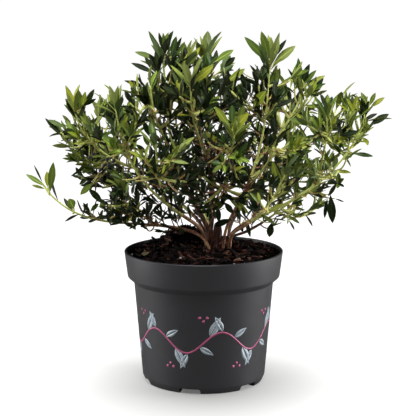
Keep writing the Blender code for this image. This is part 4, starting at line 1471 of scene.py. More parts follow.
@dataclass
class Foliage:
    """Shoots, twigs and leaves, each kind joined in its own piece."""

    rule: LeafRule
    shape: LeafShape = field(default_factory=LeafShape)
    least_whorls: dict[Rank, float] = by_rank(0.0, 0.60, 0.55, 0.45)
    foot_room: float = 0.0030
    cut_steps: int = 13
    stalk_from: float = 0.0012
    stalk_radius: float = 0.0006
    stalk_sag: float = 0.12
    bud_radii: Span = (0.0020, 0.0031)
    stalk_young: float = 0.45
    bud_shape: Place = (0.72, 0.72, 1.15)
    bud_lean: float = 0.6
    wood_steps: int = 80
    shoot_steps: int = 8
    twig_taper: Span = (1.35, 0.95)
    twig_ageing: float = 0.12
    twig_rings: int = 6
    twig_sides: int = 6
    shoot_swelling: float = 0.12
    swelling_scale: Place = (1.7, 0.9, 3.1)

    def swelling(self, side: int, ring: int, number: int) -> float:
        """The factor on a shoot's radius that makes its bark uneven."""
        across_way, along, from_one = self.swelling_scale
        spot = Vector((side * across_way, ring * along, number * from_one))
        return 1.0 + self.shoot_swelling * noise.noise(spot)

    def build_shoots(self, shoots: dict[str, list[Shoot]], material: Material) -> Piece:
        """The side shoots and twigs."""
        pile, tube = Pile(), Tube(self.twig_sides)
        for stems in [*(mass[1:] for mass in shoots.values()), LONE_STEMS, self.stalks(shoots)]:
            for number, stem in enumerate(stems):
                path = resampled(stem.line, self.twig_rings)
                thick, thin = (stem.radius * share for share in self.twig_taper)
                radii = np.linspace(thick, thin, self.twig_rings)
                rings, sides = range(self.twig_rings), range(self.twig_sides)
                rows = [[self.swelling(side, ring, number) for side in sides] for ring in rings]
                points, faces = tube.sweep(path, radii, np.array(rows))
                age = np.clip(np.linspace(stem.young - self.twig_ageing, stem.young, self.twig_rings), 0.0, 1.0)
                pile.add(points, faces, age=tube.ages(age))
        return pile.build("shoots", [material], sharp_deg=60.0)

    def stalks(self, shoots: dict[str, list[Shoot]]) -> list[Shoot]:
        """A thin stalk from the nearest wood to each lone leaf and bud that stands off it."""
        lines = [line.stretch(0.0, 1.0, self.wood_steps)[0] for line in self.rule.plan.lines.values()]
        lines += [resampled(stem.line, self.shoot_steps) for stems in [*shoots.values(), LONE_STEMS] for stem in stems]
        wood = np.vstack(lines)
        stalks = []
        for root in [*(lone.root for lone in LONE_LEAVES), *map(np.array, BUD_PLACES)]:
            near = wood[np.argmin(np.linalg.norm(wood - root, axis=1))]
            gap = float(np.linalg.norm(near - root))
            if gap > self.stalk_from:
                bow = (near + root) / 2 - self.stalk_sag * gap * UP
                line = np.array([near, bow, root])
                stalks.append(Shoot("", line, self.stalk_radius, Rank.TWIG, self.stalk_young))
        return stalks

    def build_buds(self, material: Material) -> Piece:
        """Spent buds, small dusky rounds among the twigs on the left."""
        rng, lean, buds = random.Random("buds"), self.bud_lean, []
        select_none()
        for place in BUD_PLACES:
            bpy.ops.mesh.primitive_uv_sphere_add(
                segments=10,
                ring_count=7,
                radius=rng.uniform(*self.bud_radii),
                location=place,
                rotation=(rng.uniform(-lean, lean), rng.uniform(-lean, lean), 0.0),
                scale=self.bud_shape,
            )
            buds.append(bpy.context.object)
        activate(*reversed(buds))
        bpy.ops.object.join()
        bpy.ops.object.transform_apply(location=True, rotation=True, scale=True)
        buds[-1].name = buds[-1].data.name = "spent_buds"
        return dressed(buds[-1], material, sharp_deg=60.0)

    def build_fallen(self, material: Material) -> Piece:
        """The dry leaf that lies on the soil against the lip."""
        pile = Pile()
        pile.add(self.shape.points(FALLEN_LEAF.leaf(0)), self.shape.faces()[0])
        return pile.build("fallen_leaf", [material], sharp_deg=50.0)

    def whorl_share(self, stem: Shoot, leaves: list[Leaf]) -> float:
        """How much of a shoot's whorl has found room."""
        count = self.rule.whorl_counts[stem.rank]
        reach = self.rule.whorl_start + count * self.rule.whorl_step
        return sum(bool(np.linalg.norm(leaf.root - stem.line[-1]) < reach) for leaf in leaves) / count

    def cut_back(self, stem: Shoot, others: list[Shoot]) -> bool:
        """Cuts a bare shoot back to the last shoot that stands on it; False where none does."""
        path = resampled(stem.line, self.cut_steps)
        last = 0
        for other in others:
            away = np.linalg.norm(path - other.line[0], axis=1)
            if away.min() < self.foot_room:
                last = max(last, int(np.argmin(away)))
        stem.line = path[: last + 1]
        return last > 0

    def grow_leaves(self, shoots: dict[str, list[Shoot]]) -> list[Leaf]:
        """All the leaves, mass by mass. Twigs and spurs that stay bare are dropped from the shoots."""
        leaves = []
        for name, stems in shoots.items():
            rng = random.Random(f"{name} foliage")
            found = [(stem, self.rule.leaves_of(stem, rng)) for stem in stems]
            bare = [stem for stem, some in found if self.whorl_share(stem, some) < self.least_whorls[stem.rank]]
            kept = [stem for stem in stems if stem not in bare]
            kept += [stem for stem in bare if stem.rank is Rank.SIDE and self.cut_back(stem, kept)]
            leaves += [leaf for stem, some in found if stem in kept and stem not in bare for leaf in some]
            stems[:] = kept
        leaves += [lone.leaf(number % LEAF_TINTS) for number, lone in enumerate(LONE_LEAVES)]
        return leaves

    def build_leaves(self, leaves: list[Leaf], age: LeafAgeAndShade, materials: list[Material]) -> Piece:
        """The leaves of one age and painted shade in one piece.

        Args:
            leaves: every leaf of the plant.
            age: the age, with its painted shade, that this piece holds.
            materials: the blades' tints, then the rib and the underside.

        Returns:
            The piece.
        """
        pile = Pile()
        faces, kinds = self.shape.faces()
        for leaf in leaves:
            if leaf.age is age:
                slots = [leaf.tint if kind == 0 else LEAF_TINTS - 1 + kind for kind in kinds]
                pile.add(self.shape.points(leaf), faces, slots)
        return pile.build(f"{age.value}_leaves", materials, sharp_deg=50.0)


def select_none() -> None:
    """Leaves edit mode and deselects everything."""
    if bpy.context.object is not None and bpy.context.object.mode != "OBJECT":
        bpy.ops.object.mode_set(mode="OBJECT")
    bpy.ops.object.select_all(action="DESELECT")


def activate(*pieces: Piece) -> None:
    """Selects these pieces alone, the first of them active."""
    select_none()
    for piece in pieces:
        piece.select_set(True)
    bpy.context.view_layer.objects.active = pieces[0]


def alter(piece: Piece, kind: str, **settings: object) -> None:
    """Applies a modifier of that kind to the active piece."""
    modifier = piece.modifiers.new(kind.lower(), kind)
    for key, value in settings.items():
        setattr(modifier, key, value)
    bpy.ops.object.modifier_apply(modifier=modifier.name)


def dressed(piece: Piece, material: Material, sharp_deg: float) -> Piece:
    """The active piece in that material alone, smooth up to that angle."""
    piece.data.materials.clear()
    piece.data.materials.append(material)
    bpy.ops.object.shade_smooth_by_angle(angle=math.radians(sharp_deg))
    return piece


def rounded(corners: list[tuple[float, float, float]], steps: int) -> Outline:
    """An outline whose corners are eased to their own radius.

    Args:
        corners: radius, height and easing of each corner.
        steps: points along each eased corner.

    Returns:
        Points of the eased outline.
    """
    points: Outline = []
    for index, (radius, height, ease) in enumerate(corners):
        here = np.array((radius, height))
        if ease == 0.0 or index in (0, len(corners) - 1):
            points.append((radius, height))
            continue
        before = unit(np.array(corners[index - 1][:2]) - here)
        after = unit(np.array(corners[index + 1][:2]) - here)
        half = math.acos(float(np.clip(before @ after, -1.0, 1.0))) / 2
        reach = ease / math.tan(half)
        for step in range(steps + 1):
            t = step / steps
            start, end = here + before * reach, here + after * reach
            spot = (1 - t) ** 2 * start + 2 * t * (1 - t) * here + t**2 * end
            points.append((float(spot[0]), float(spot[1])))
    return points


def swept_ring(outline: Outline, sides: int, name: str) -> Piece:
    """Extrudes a ring along an outline and closes it on the axis at both ends.

    Args:
        outline: radius and height of each ring, from one end to the other.
        sides: points in each ring.
        name: the new object's name.

    Returns:
        The closed object.
    """
    select_none()
    radius, height = outline[0]
    bpy.ops.mesh.primitive_circle_add(vertices=sides, radius=radius, location=(0.0, 0.0, height))
    piece = bpy.context.object
    piece.name = piece.data.name = name
    bpy.ops.object.transform_apply(location=True, rotation=False, scale=False)
    bpy.ops.object.mode_set(mode="EDIT")
    bpy.ops.mesh.extrude_edges_move()
    bpy.ops.mesh.merge(type="CENTER")
    shape = bmesh.from_edit_mesh(piece.data)
    for vertex in shape.verts:
        vertex.select_set(math.hypot(vertex.co.x, vertex.co.y) > radius / 2)
    shape.select_flush_mode()
    bmesh.update_edit_mesh(piece.data)
    for next_radius, next_height in outline[1:]:
        bpy.ops.mesh.extrude_edges_move(TRANSFORM_OT_translate={"value": (0.0, 0.0, next_height - height)})
        scale = next_radius / radius
        bpy.ops.transform.resize(value=(scale, scale, 1.0))
        radius, height = next_radius, next_height
    bpy.ops.mesh.extrude_edges_move()
    bpy.ops.mesh.merge(type="CENTER")
    bpy.ops.mesh.select_all(action="SELECT")
    bpy.ops.mesh.normals_make_consistent(inside=False)
    bpy.ops.object.mode_set(mode="OBJECT")
    return piece


@dataclass
class Pot:
    """The round moulded container, with its collar, eased lip and drain arches."""

    height: float
    rim_radius: float
    band_low_radius: float = 0.0912
    band_low_height: float = 0.1275
    shoulder_radius: float = 0.0836
    shoulder_height: float = 0.1205
    heel_radius: float = 0.0740
    heel_height: float = 0.0070
    foot_radius: float = 0.0708
    wall: float = 0.0018
    floor_top: float = 0.0095
    ring_width: float = 0.0120
    recess: float = 0.0068
    pad_radius: float = 0.0280
    recess_slope: float = 0.0030
    sides: int = 168
    ease_steps: int = 4
    arch_count: int = 6
    arch_width: float = 0.0250
    arch_height: float = 0.0060
    arch_first_deg: float = -103.0
    arch_ease: float = 0.0022
    arch_overshoot: float = 0.010
    slot_length: float = 0.0110
    slot_width: float = 0.0050
    slot_ease: float = 0.0006
    lip_ease: float = 0.0008
    foot_eases: Place = (0.0008, 0.0006, 0.0010)
    heel_eases: Span = (0.0060, 0.0020)
    shoulder_ease: float = 0.0010
    band_ease: float = 0.0020
    rim_eases: Place = (0.0003, 0.0004, 0.0006)

    def outline(self) -> Outline:
        """Radius and height from the pad under the floor, out and up to the lip, and down inside."""
        ring = self.foot_radius - self.ring_width
        recess_ease, ring_ease, foot_ease = self.foot_eases
        heel_ease, floor_ease = self.heel_eases
        rim_ease, crest_ease, inner_ease = self.rim_eases
        corners = [
            (self.pad_radius, 0.0, 0.0),
            (self.pad_radius + self.recess_slope, self.recess, recess_ease),
            (ring - self.recess_slope, self.recess, recess_ease),
            (ring, 0.0, ring_ease),
            (self.foot_radius, 0.0, foot_ease),
            (self.heel_radius, self.heel_height, heel_ease),
            (self.shoulder_radius, self.shoulder_height, self.shoulder_ease),
            (self.band_low_radius, self.band_low_height, self.band_ease),
            (self.rim_radius, self.height - self.lip_ease, rim_ease),
            (self.rim_radius - self.lip_ease, self.height, crest_ease),
            (self.rim_radius - self.lip_ease - self.wall, self.height, inner_ease),
            (self.band_low_radius - self.wall, self.band_low_height, self.band_ease),
            (self.shoulder_radius - self.wall, self.shoulder_height, self.shoulder_ease),
            (self.heel_radius - self.wall, self.floor_top, floor_ease),
            (self.pad_radius, self.floor_top, 0.0),
        ]
        return rounded(corners, self.ease_steps)

    def wall_radius(self, height: float) -> float:
        """The outside's radius at a height below the collar."""
        rise = (height - self.heel_height) / (self.shoulder_height - self.heel_height)
        return self.heel_radius + rise * (self.shoulder_radius - self.heel_radius)

    def inner_radius(self, height: float) -> float:
        """The inside's radius at a height within the collar."""
        rise = (height - self.band_low_height) / (self.height - self.band_low_height)
        return self.band_low_radius - self.wall + rise * (self.rim_radius - self.lip_ease - self.band_low_radius)

    def cutters(self, size: Place, radius: float, height: float, ease: float) -> Piece:
        """Blocks round the foot, one for each arch, joined.

        Args:
            size: a block's depth, width and height.
            radius: the blocks' distance from the axis.
            height: the height of their middle.
            ease: how far their edges along the depth are rounded.

        Returns:
            The joined blocks.
        """
        blocks = []
        for index in range(self.arch_count):
            angle = math.radians(self.arch_first_deg) + index * 2 * math.pi / self.arch_count
            select_none()
            spot = (radius * math.cos(angle), radius * math.sin(angle), height)
            bpy.ops.mesh.primitive_cube_add(size=1.0, location=spot, rotation=(0.0, 0.0, angle), scale=size)
            block = bpy.context.object
            bpy.ops.object.transform_apply(location=False, rotation=False, scale=True)
            bpy.ops.object.mode_set(mode="EDIT")
            shape = bmesh.from_edit_mesh(block.data)
            for edge in shape.edges:
                low, high = (vertex.co for vertex in edge.verts)
                edge.select_set(abs(low.x - high.x) > size[0] / 2)
            bmesh.update_edit_mesh(block.data)
            bpy.ops.mesh.bevel(offset=ease, segments=4)
            bpy.ops.object.mode_set(mode="OBJECT")
            blocks.append(block)
        activate(*blocks)
        bpy.ops.object.transform_apply(location=True, rotation=True, scale=True)
        bpy.ops.object.join()
        return blocks[0]

    def build(self, material: Material) -> Piece:
        """The whole container."""
        pot = swept_ring(self.outline(), self.sides, "container")
        inner = self.foot_radius - self.ring_width - 2 * self.recess_slope
        outer = self.heel_radius + self.arch_overshoot
        arch = self.cutters(
            (outer - inner, self.arch_width, 2 * self.arch_height), (inner + outer) / 2, 0.0, self.arch_ease
        )
        slot = self.cutters(
            (self.slot_width, self.slot_length, 2 * self.floor_top),
            self.foot_radius - self.ring_width / 2,
            self.floor_top + self.arch_height / 2,
            self.slot_ease,
        )
        for cutter in (arch, slot):
            activate(pot)
            alter(pot, "BOOLEAN", operation="DIFFERENCE", solver="EXACT", object=cutter)
            bpy.data.objects.remove(cutter)
        return dressed(pot, material, sharp_deg=32.0)


@dataclass
class Frieze:
    """A printed band round the pot: a waving stem with a leaf in each bend and dots between.

    A leaf stands at a share of the wave from its crest, at a slope in degrees, in its own size. A
    dot stands at a share of the wave too, and at a height off the stem's middle.
    """

    pot: Pot
    middle: float = 0.063
    waves: int = 6
    swing: float = 0.0125
    stem_width: float = 0.0021
    stem_steps: int = 320
    leaf_length: float = 0.0250
    leaf_width: float = 0.0100
    leaf_steps: int = 10
    leaf_skew: float = 0.8
    leaf_fullness: float = 0.9
    rib_gap: float = 0.0003
    rib_end: float = 0.9
    leaf_lift: float = 0.8
    leaf_stands: tuple[Place, ...] = ((-0.16, 62.0, 1.0), (0.02, 118.0, 0.8), (0.20, 30.0, 0.72))
    dot_stands: tuple[Span, ...] = ((0.0, 0.0265), (0.050, 0.0305), (-0.050, 0.0305))
    dot_start: float = 0.25
    dot_radius: float = 0.0018
    dot_sides: int = 10
    lift: float = 0.00006
    thickness: float = 0.00012

    def on_wall(self, flat: Array) -> Array:
        """Bends points of (way round, height) onto the pot's wall."""
        radius = self.pot.wall_radius(self.middle)
        angle = flat[:, 0] / radius - math.pi / 2
        reach = np.array([self.pot.wall_radius(height) for height in flat[:, 1]]) + self.lift
        return np.stack([reach * np.cos(angle), reach * np.sin(angle), flat[:, 1]], axis=1)

    def leaf(self, root: Array, lean: float, size: float) -> tuple[Array, Faces]:
        """A flat pointed leaf, in two halves with a bare line for its rib."""
        along = np.array((math.cos(lean), math.sin(lean)))
        square = np.array((-along[1], along[0]))
        shares = np.linspace(0.0, 1.0, self.leaf_steps + 1)
        points, faces = [], []
        for hand in (-1.0, 1.0):
            first = len(points)
            for share in shares:
                reach = 0.5 * self.leaf_width * math.sin(math.pi * share**self.leaf_skew) ** self.leaf_fullness
                gap = self.rib_gap if 0.0 < share < self.rib_end else 0.0
                spot = root + along * self.leaf_length * size * share
                out = square * hand
                points += [spot + out * min(gap, reach), spot + out * size * max(reach, self.rib_gap)]
            for step in range(self.leaf_steps):
                low = first + 2 * step
                face = (low, low + 1, low + 3, low + 2)
                faces.append(face if hand < 0 else face[::-1])
        return np.array(points), faces

    def build(self, stem_ink: Material, leaf_ink: Material) -> Piece:
        """The whole band, a thin coat of ink that stands on the wall."""
        pile = Pile()
        round_way = 2 * math.pi * self.pot.wall_radius(self.middle)
        wave = round_way / self.waves
        ways = np.linspace(0.0, round_way, self.stem_steps, endpoint=False)
        heights = self.middle + self.swing * np.sin(2 * math.pi * ways / wave)
        slopes = self.swing * 2 * math.pi / wave * np.cos(2 * math.pi * ways / wave)
        half = 0.5 * self.stem_width * np.sqrt(1.0 + slopes**2)
        flat = np.vstack([np.stack([ways, heights - half], axis=1), np.stack([ways, heights + half], axis=1)])
        pile.add(self.on_wall(flat), ring_faces(0, self.stem_steps))
        for index in range(2 * self.waves):
            hand = 1.0 if index % 2 == 0 else -1.0
            crest = (index + 0.5) * wave / 2
            for shift, lean_deg, size in self.leaf_stands:
                way = crest + shift * wave
                height = self.middle + self.swing * math.sin(2 * math.pi * way / wave)
                outward = hand * math.radians(lean_deg)
                root = np.array((way, height + hand * self.stem_width * self.leaf_lift))
                points, leaf_faces = self.leaf(root, outward, size)
                pile.add(self.on_wall(points), leaf_faces, 1)
            for shift, rise in self.dot_stands:
                centre = np.array((crest + (self.dot_start + shift) * wave, self.middle - hand * rise))
                angles = np.arange(self.dot_sides) * 2 * math.pi / self.dot_sides
                ring = centre + self.dot_radius * np.stack([np.cos(angles), np.sin(angles)], axis=1)
                pile.add(self.on_wall(ring), [tuple(range(self.dot_sides))])
        band = pile.build("printed_vine", [stem_ink, leaf_ink], sharp_deg=40.0)
        activate(band)
        alter(band, "SOLIDIFY", thickness=self.thickness, offset=1.0)
        return band


@dataclass
class Soil:
    """Potting soil that mounds up to the plant, with bark chips, crumbs and white grains."""

    pot: Pot
    top: float = 0.158
    level_radius: float = 0.036
    slope_height: float = 0.1570
    edge_height: float = 0.1535
    clearance: float = 0.0003
    sides: int = 120
    rings: int = 34
    inmost_radius: float = 0.002
    lump_size: float = 0.009
    lump_detail: int = 4
    lump_height: float = 0.0034
    lump_middle: float = 0.75
    lump_fade: float = 0.004
    heap_place: Span = (-0.022, 0.040)
    heap_spread: Span = (0.050, 0.042)
    heap_height: float = 0.020
    chips: int = 760
    chip_lengths: Span = (0.008, 0.028)
    chip_widths: Span = (0.0018, 0.0060)
    chip_trims: Span = (0.6, 1.0)
    chip_thins: Span = (0.25, 0.55)
    chip_tapers: tuple[Span, Span] = ((0.25, 0.8), (0.15, 0.8))
    chip_jigs: Span = (0.8, 1.15)
    chip_bend: float = 0.12
    chip_tilt: float = 0.28
    chip_roll: float = 0.7
    chip_lifts: Span = (-0.0002, 0.0012)
    crumbs: int = 800
    crumb_radii: Span = (0.0006, 0.0019)
    crumb_sides: int = 5
    crumb_girth: float = 0.85
    crumb_rise: float = 0.55
    crumb_jigs: Span = (0.8, 1.2)
    crumb_lifts: Span = (-0.3, 0.9)
    grains: int = 16
    grain_radii: Span = (0.0009, 0.0017)
    bare_radius: float = 0.010
    wall_share: float = 0.75
    wall_room: float = 0.0008

    def edge_radius(self) -> float:
        """The soil's radius where it meets the wall."""
        return self.pot.inner_radius(self.edge_height) - self.clearance

    def surface(self, radius: float) -> float:
        """The bed's height at a distance from the axis, without its heap."""
        edge = self.edge_radius()
        middle = (self.level_radius + edge) / 2
        stops = (0.0, self.level_radius, middle, edge)
        return float(np.interp(radius, stops, (self.top, self.top, self.slope_height, self.edge_height)))

    def heaped(self, x: float, y: float) -> float:
        """How much higher the bed lies where soil is heaped up, behind the stems on the left."""
        way = math.hypot((x - self.heap_place[0]) / self.heap_spread[0], (y - self.heap_place[1]) / self.heap_spread[1])
        return self.heap_height * 0.5 * (1.0 + math.cos(math.pi * min(way, 1.0)))

    def build_bed(self, material: Material) -> Piece:
        """The bed: a closed plug down to the pot's floor, with a lumpy top."""
        edge = self.edge_radius()
        radii = np.linspace(self.inmost_radius, edge, self.rings)
        outline = [(float(radius), self.surface(float(radius))) for radius in radii]
        wall = self.pot.wall + self.clearance
        outline += [
            (self.pot.band_low_radius - wall, self.pot.band_low_height),
            (self.pot.shoulder_radius - wall, self.pot.shoulder_height),
            (self.pot.heel_radius - wall, self.pot.floor_top + self.clearance),
        ]
        bed = swept_ring(outline, self.sides, "soil_bed")
        group = bed.vertex_groups.new(name="top")
        for vertex in bed.data.vertices:
            radius = math.hypot(vertex.co.x, vertex.co.y)
            if vertex.co.z > self.edge_height - self.clearance:
                group.add([vertex.index], min(1.0, (edge - radius) / self.lump_fade), "REPLACE")
                vertex.co.z += self.heaped(vertex.co.x, vertex.co.y)
        lumps = bpy.data.textures.new("lumps", "CLOUDS")
        lumps.noise_scale = self.lump_size
        lumps.noise_depth = self.lump_detail
        way = {"texture": lumps, "texture_coords": "LOCAL", "direction": "Z", "vertex_group": group.name}
        alter(bed, "DISPLACE", strength=self.lump_height, mid_level=self.lump_middle, **way)
        return dressed(bed, material, sharp_deg=50.0)

    def spot(self, rng: random.Random, reach: float) -> Array:
        """A seeded place on the soil, with room for a thing of that reach beside the wall."""
        low, high = self.bare_radius, self.edge_radius() - self.wall_share * reach - self.wall_room
        radius = math.sqrt(rng.uniform(low**2, high**2))
        angle = rng.uniform(0.0, 2 * math.pi)
        x, y = radius * math.cos(angle), radius * math.sin(angle)
        return np.array((x, y, self.surface(radius) + self.heaped(x, y)))

    def chip(self, rng: random.Random) -> tuple[Array, Faces]:
        """One splinter of bark: a bent, tapering bar of ten faces."""
        length = rng.uniform(*self.chip_lengths) * rng.uniform(*self.chip_trims)
        width = rng.uniform(*self.chip_widths)
        thick = width * rng.uniform(*self.chip_thins)
        bend = rng.uniform(-self.chip_bend, self.chip_bend) * length
        rows = []
        blunt, sharp = (rng.uniform(*span) for span in self.chip_tapers)
        for share, taper in ((-0.5, blunt), (0.0, 1.0), (0.5, sharp)):
            sag = bend * (1.0 - (2 * share) ** 2)
            for across_way, up in ((-0.5, -0.5), (0.5, -0.5), (0.5, 0.5), (-0.5, 0.5)):
                jig = rng.uniform(*self.chip_jigs)
                rows.append((share * length, across_way * width * taper * jig, up * thick * jig + sag))
        faces = [(3, 2, 1, 0), (8, 9, 10, 11), *ring_faces(0, 4), *ring_faces(4, 4)]
        points = np.array(rows)
        turn = rng.uniform(0.0, 2 * math.pi)
        tilt = rng.gauss(0.0, self.chip_tilt)
        roll = rng.uniform(-self.chip_roll, self.chip_roll)
        along = np.array((math.cos(turn) * math.cos(tilt), math.sin(turn) * math.cos(tilt), math.sin(tilt)))
        one, two = across(along)
        flat, upward = turned_about(one, along, roll), turned_about(two, along, roll)
        placed = points[:, :1] * along + points[:, 1:2] * flat + points[:, 2:] * upward
        spot = self.spot(rng, length)
        return placed + spot + UP * rng.uniform(*self.chip_lifts), faces

    def lump(self, rng: random.Random, radii: Span) -> tuple[Array, Faces]:
        """One crumb or grain: an uneven twelve-cornered lump."""
        radius, sides = rng.uniform(*radii), self.crumb_sides
        points, faces = [], []
        for ring, rise in enumerate((-self.crumb_rise, self.crumb_rise)):
            for side in range(sides):
                angle = 2 * math.pi * (side + 0.5 * ring) / sides
                reach = radius * self.crumb_girth * rng.uniform(*self.crumb_jigs)
                points.append((reach * math.cos(angle), reach * math.sin(angle), radius * rise))
        points += [(0.0, 0.0, -radius), (0.0, 0.0, radius)]
        for side in range(sides):
            after = (side + 1) % sides
            faces += [(after, side, 2 * sides), (sides + side, sides + after, 2 * sides + 1)]
            faces += [(side, after, sides + side), (after, sides + after, sides + side)]
        spot = self.spot(rng, 2 * radius) + UP * rng.uniform(*self.crumb_lifts) * radius
        return np.array(points) + spot, faces

    def build_chips(self, materials: list[Material], weights: list[float]) -> Piece:
        """All the bark chips, in the materials by their weights."""
        rng = random.Random("bark chips")
        pile = Pile()
        for _ in range(self.chips):
            points, faces = self.chip(rng)
            slot = rng.choices(range(len(materials)), weights)[0]
            pile.add(points, faces, slot)
        return pile.build("bark_chips", materials, sharp_deg=30.0)

    def scatter(self, name: str, material: Material, count: int, radii: Span, rise: float = 0.0) -> Piece:
        """Crumbs or grains on the bed, in one piece of that name."""
        rng, pile = random.Random(name.replace("_", " ")), Pile()
        for _ in range(count):
            points, faces = self.lump(rng, radii)
            pile.add(points + UP * rise, faces)
        return pile.build(name, [material], sharp_deg=80.0)

    def build_crumbs(self, material: Material) -> Piece:
        """The crumbs of peat between the chips."""
        return self.scatter("peat_crumbs", material, self.crumbs, self.crumb_radii)

    def build_grains(self, material: Material) -> Piece:
        """The few white grains that lie on top."""
        return self.scatter("white_grains", material, self.grains, self.grain_radii, self.grain_radii[0])


@dataclass
class Studio:
    """A white floor, soft lights and the camera at the photograph's angle."""

    camera_down_deg: float = 9.3
    camera_angle_deg: float = 17.74
    sensor_mm: float = 36.0
    view_range: float = 50.0
    floor_size: float = 80.0
    sky_front: float = 0.02
    sky_back: float = 0.06
    sky_seen: float = 1.05
    sky_turn: Span = (-0.8, 0.5)
    target: Place = (0.0, 0.0, 0.2)
    lights: tuple[tuple[str, Place, float, float], ...] = (
        ("overhead", (-0.15, -0.55, 1.70), 0.7, 31.0),
        ("front_top", (0.10, -1.10, 1.50), 0.7, 10.0),
        ("left_panel", (-1.60, 0.10, 0.25), 0.9, 33.0),
        ("right_panel", (1.60, 0.10, 0.25), 0.9, 47.0),
    )

    def build(self, floor_material: Material) -> None:
        """Makes the floor, the sky, the lights and the camera."""
        select_none()
        bpy.ops.mesh.primitive_plane_add(size=self.floor_size)
        floor = bpy.context.object
        floor.name = "studio_floor"
        floor.data.materials.append(floor_material)
        self.light_sky()
        for name, place, size, watts in self.lights:
            self.add_light(name, place, size, watts)
        data = bpy.data.cameras.new("camera")
        data.sensor_width = self.sensor_mm
        data.angle = math.radians(self.camera_angle_deg)
        data.clip_end = self.view_range
        camera = bpy.data.objects.new("camera", data)
        camera.location = EYE
        camera.rotation_euler = (math.radians(90.0 - self.camera_down_deg), 0.0, 0.0)
        bpy.context.scene.collection.objects.link(camera)
        bpy.context.scene.camera = camera
        bpy.context.scene.view_settings.view_transform = "Standard"

    def light_sky(self) -> None:
        """A white sky to the eye, and as a light dimmer towards the camera than behind."""
        world = bpy.data.worlds.new("studio")
        bpy.context.scene.world = world
        world.use_nodes = True
        sheet = Sheet(world.node_tree)
        background = world.node_tree.nodes["Background"]
        way = sheet.add("ShaderNodeTexCoord")["Generated"]
        parts = sheet.add("ShaderNodeSeparateXYZ", {0: way})
        low, high = self.sky_turn
        turn = {"From Min": low, "From Max": high, "To Min": self.sky_front, "To Max": self.sky_back}
        lighting = sheet.add("ShaderNodeMapRange", {"Value": parts["Y"], **turn}, interpolation_type="SMOOTHSTEP")
        seen = sheet.add("ShaderNodeLightPath")["Is Camera Ray"]
        strength = sheet.add("ShaderNodeMix", {0: seen, 2: lighting[0], 3: self.sky_seen})
        sheet.feed(background, {"Color": (1.0, 1.0, 1.0, 1.0), "Strength": strength[0]})

    def add_light(self, name: str, place: Place, size: float, watts: float) -> None:
        """A square soft light that faces the target."""
        data = bpy.data.lights.new(name, "AREA")
        data.size = size
        data.energy = watts
        light = bpy.data.objects.new(name, data)
        light.location = place
        light.rotation_euler = (Vector(self.target) - Vector(place)).to_track_quat("-Z", "Y").to_euler()
        bpy.context.scene.collection.objects.link(light)


# Blade, rib and underside colours by leaf age. They also carry painted light and shade: the new tints are light, for
# the lit top and sides, and the old ones near black, painted shade for the crown's inside.
LEAF_TINTS_AND_SHADES_OF: dict[LeafAgeAndShade, tuple[tuple[Colour, Colour], ...]] = {
    NEW: (
        ((0.213, 0.262, 0.022), (0.163, 0.219, 0.018)), ((0.274, 0.294, 0.022), (0.212, 0.246, 0.018)),
        ((0.146, 0.223, 0.022), (0.106, 0.177, 0.018)), ((0.192, 0.243, 0.046), (0.153, 0.206, 0.038)),
        ((0.440, 0.474, 0.096), (0.362, 0.408, 0.082)), ((0.288, 0.341, 0.084), (0.234, 0.291, 0.070)),
    ),
    MATURE: (
        ((0.077, 0.124, 0.014), (0.053, 0.092, 0.010)), ((0.108, 0.153, 0.014), (0.077, 0.117, 0.011)),
        ((0.049, 0.097, 0.018), (0.033, 0.072, 0.013)), ((0.092, 0.121, 0.010), (0.063, 0.090, 0.008)),
        ((0.152, 0.217, 0.048), (0.120, 0.177, 0.040)), ((0.117, 0.169, 0.054), (0.093, 0.139, 0.044)),
    ),
    OLD: (
        ((0.0108, 0.0215, 0.0035), (0.0073, 0.0155, 0.0030)), ((0.0147, 0.0284, 0.0047), (0.0100, 0.0206, 0.0035)),
        ((0.0082, 0.0198, 0.0052), (0.0060, 0.0146, 0.0035)), ((0.0142, 0.0224, 0.0035), (0.0095, 0.0163, 0.0026)),
        ((0.034, 0.048, 0.013), (0.026, 0.037, 0.011)), ((0.030, 0.039, 0.015), (0.023, 0.031, 0.012)),
    ),
}
LEAF_GLOSS: dict[LeafAgeAndShade, tuple[Span, float]] = {
    NEW: ((0.44, 0.58), 0.22), MATURE: ((0.40, 0.54), 0.20), OLD: ((0.46, 0.60), 0.13),
}
BARK_STEPS: tuple[tuple[float, Colour], ...] = (
    (0.00, (0.056, 0.022, 0.016)),
    (0.18, (0.275, 0.112, 0.062)),
    (0.36, (0.420, 0.250, 0.090)),
    (0.50, (0.500, 0.500, 0.140)),
    (1.00, (0.530, 0.580, 0.150)),
)


def leaf_materials(age: LeafAgeAndShade, effects: Effects) -> list[Material]:
    """The blades' tints of one age and painted shade, then its rib and its underside."""
    *blades, rib, under = LEAF_TINTS_AND_SHADES_OF[age]
    gloss, specular = LEAF_GLOSS[age]
    finishes = [
        Finish(f"{age.value}_blade_{number}", *pair, gloss, 110.0, 2.4, 1400.0, 0.00015, 0.35, specular=specular)
        for number, pair in enumerate(blades)
    ] + [
        Finish(f"{age.value}_{part}", *pair, (0.50, 0.65), 140.0, grain_scale=1700.0, specular=0.25)
        for part, pair in (("rib", rib), ("underside", under))
    ]
    return [finish.material(effects) for finish in finishes]


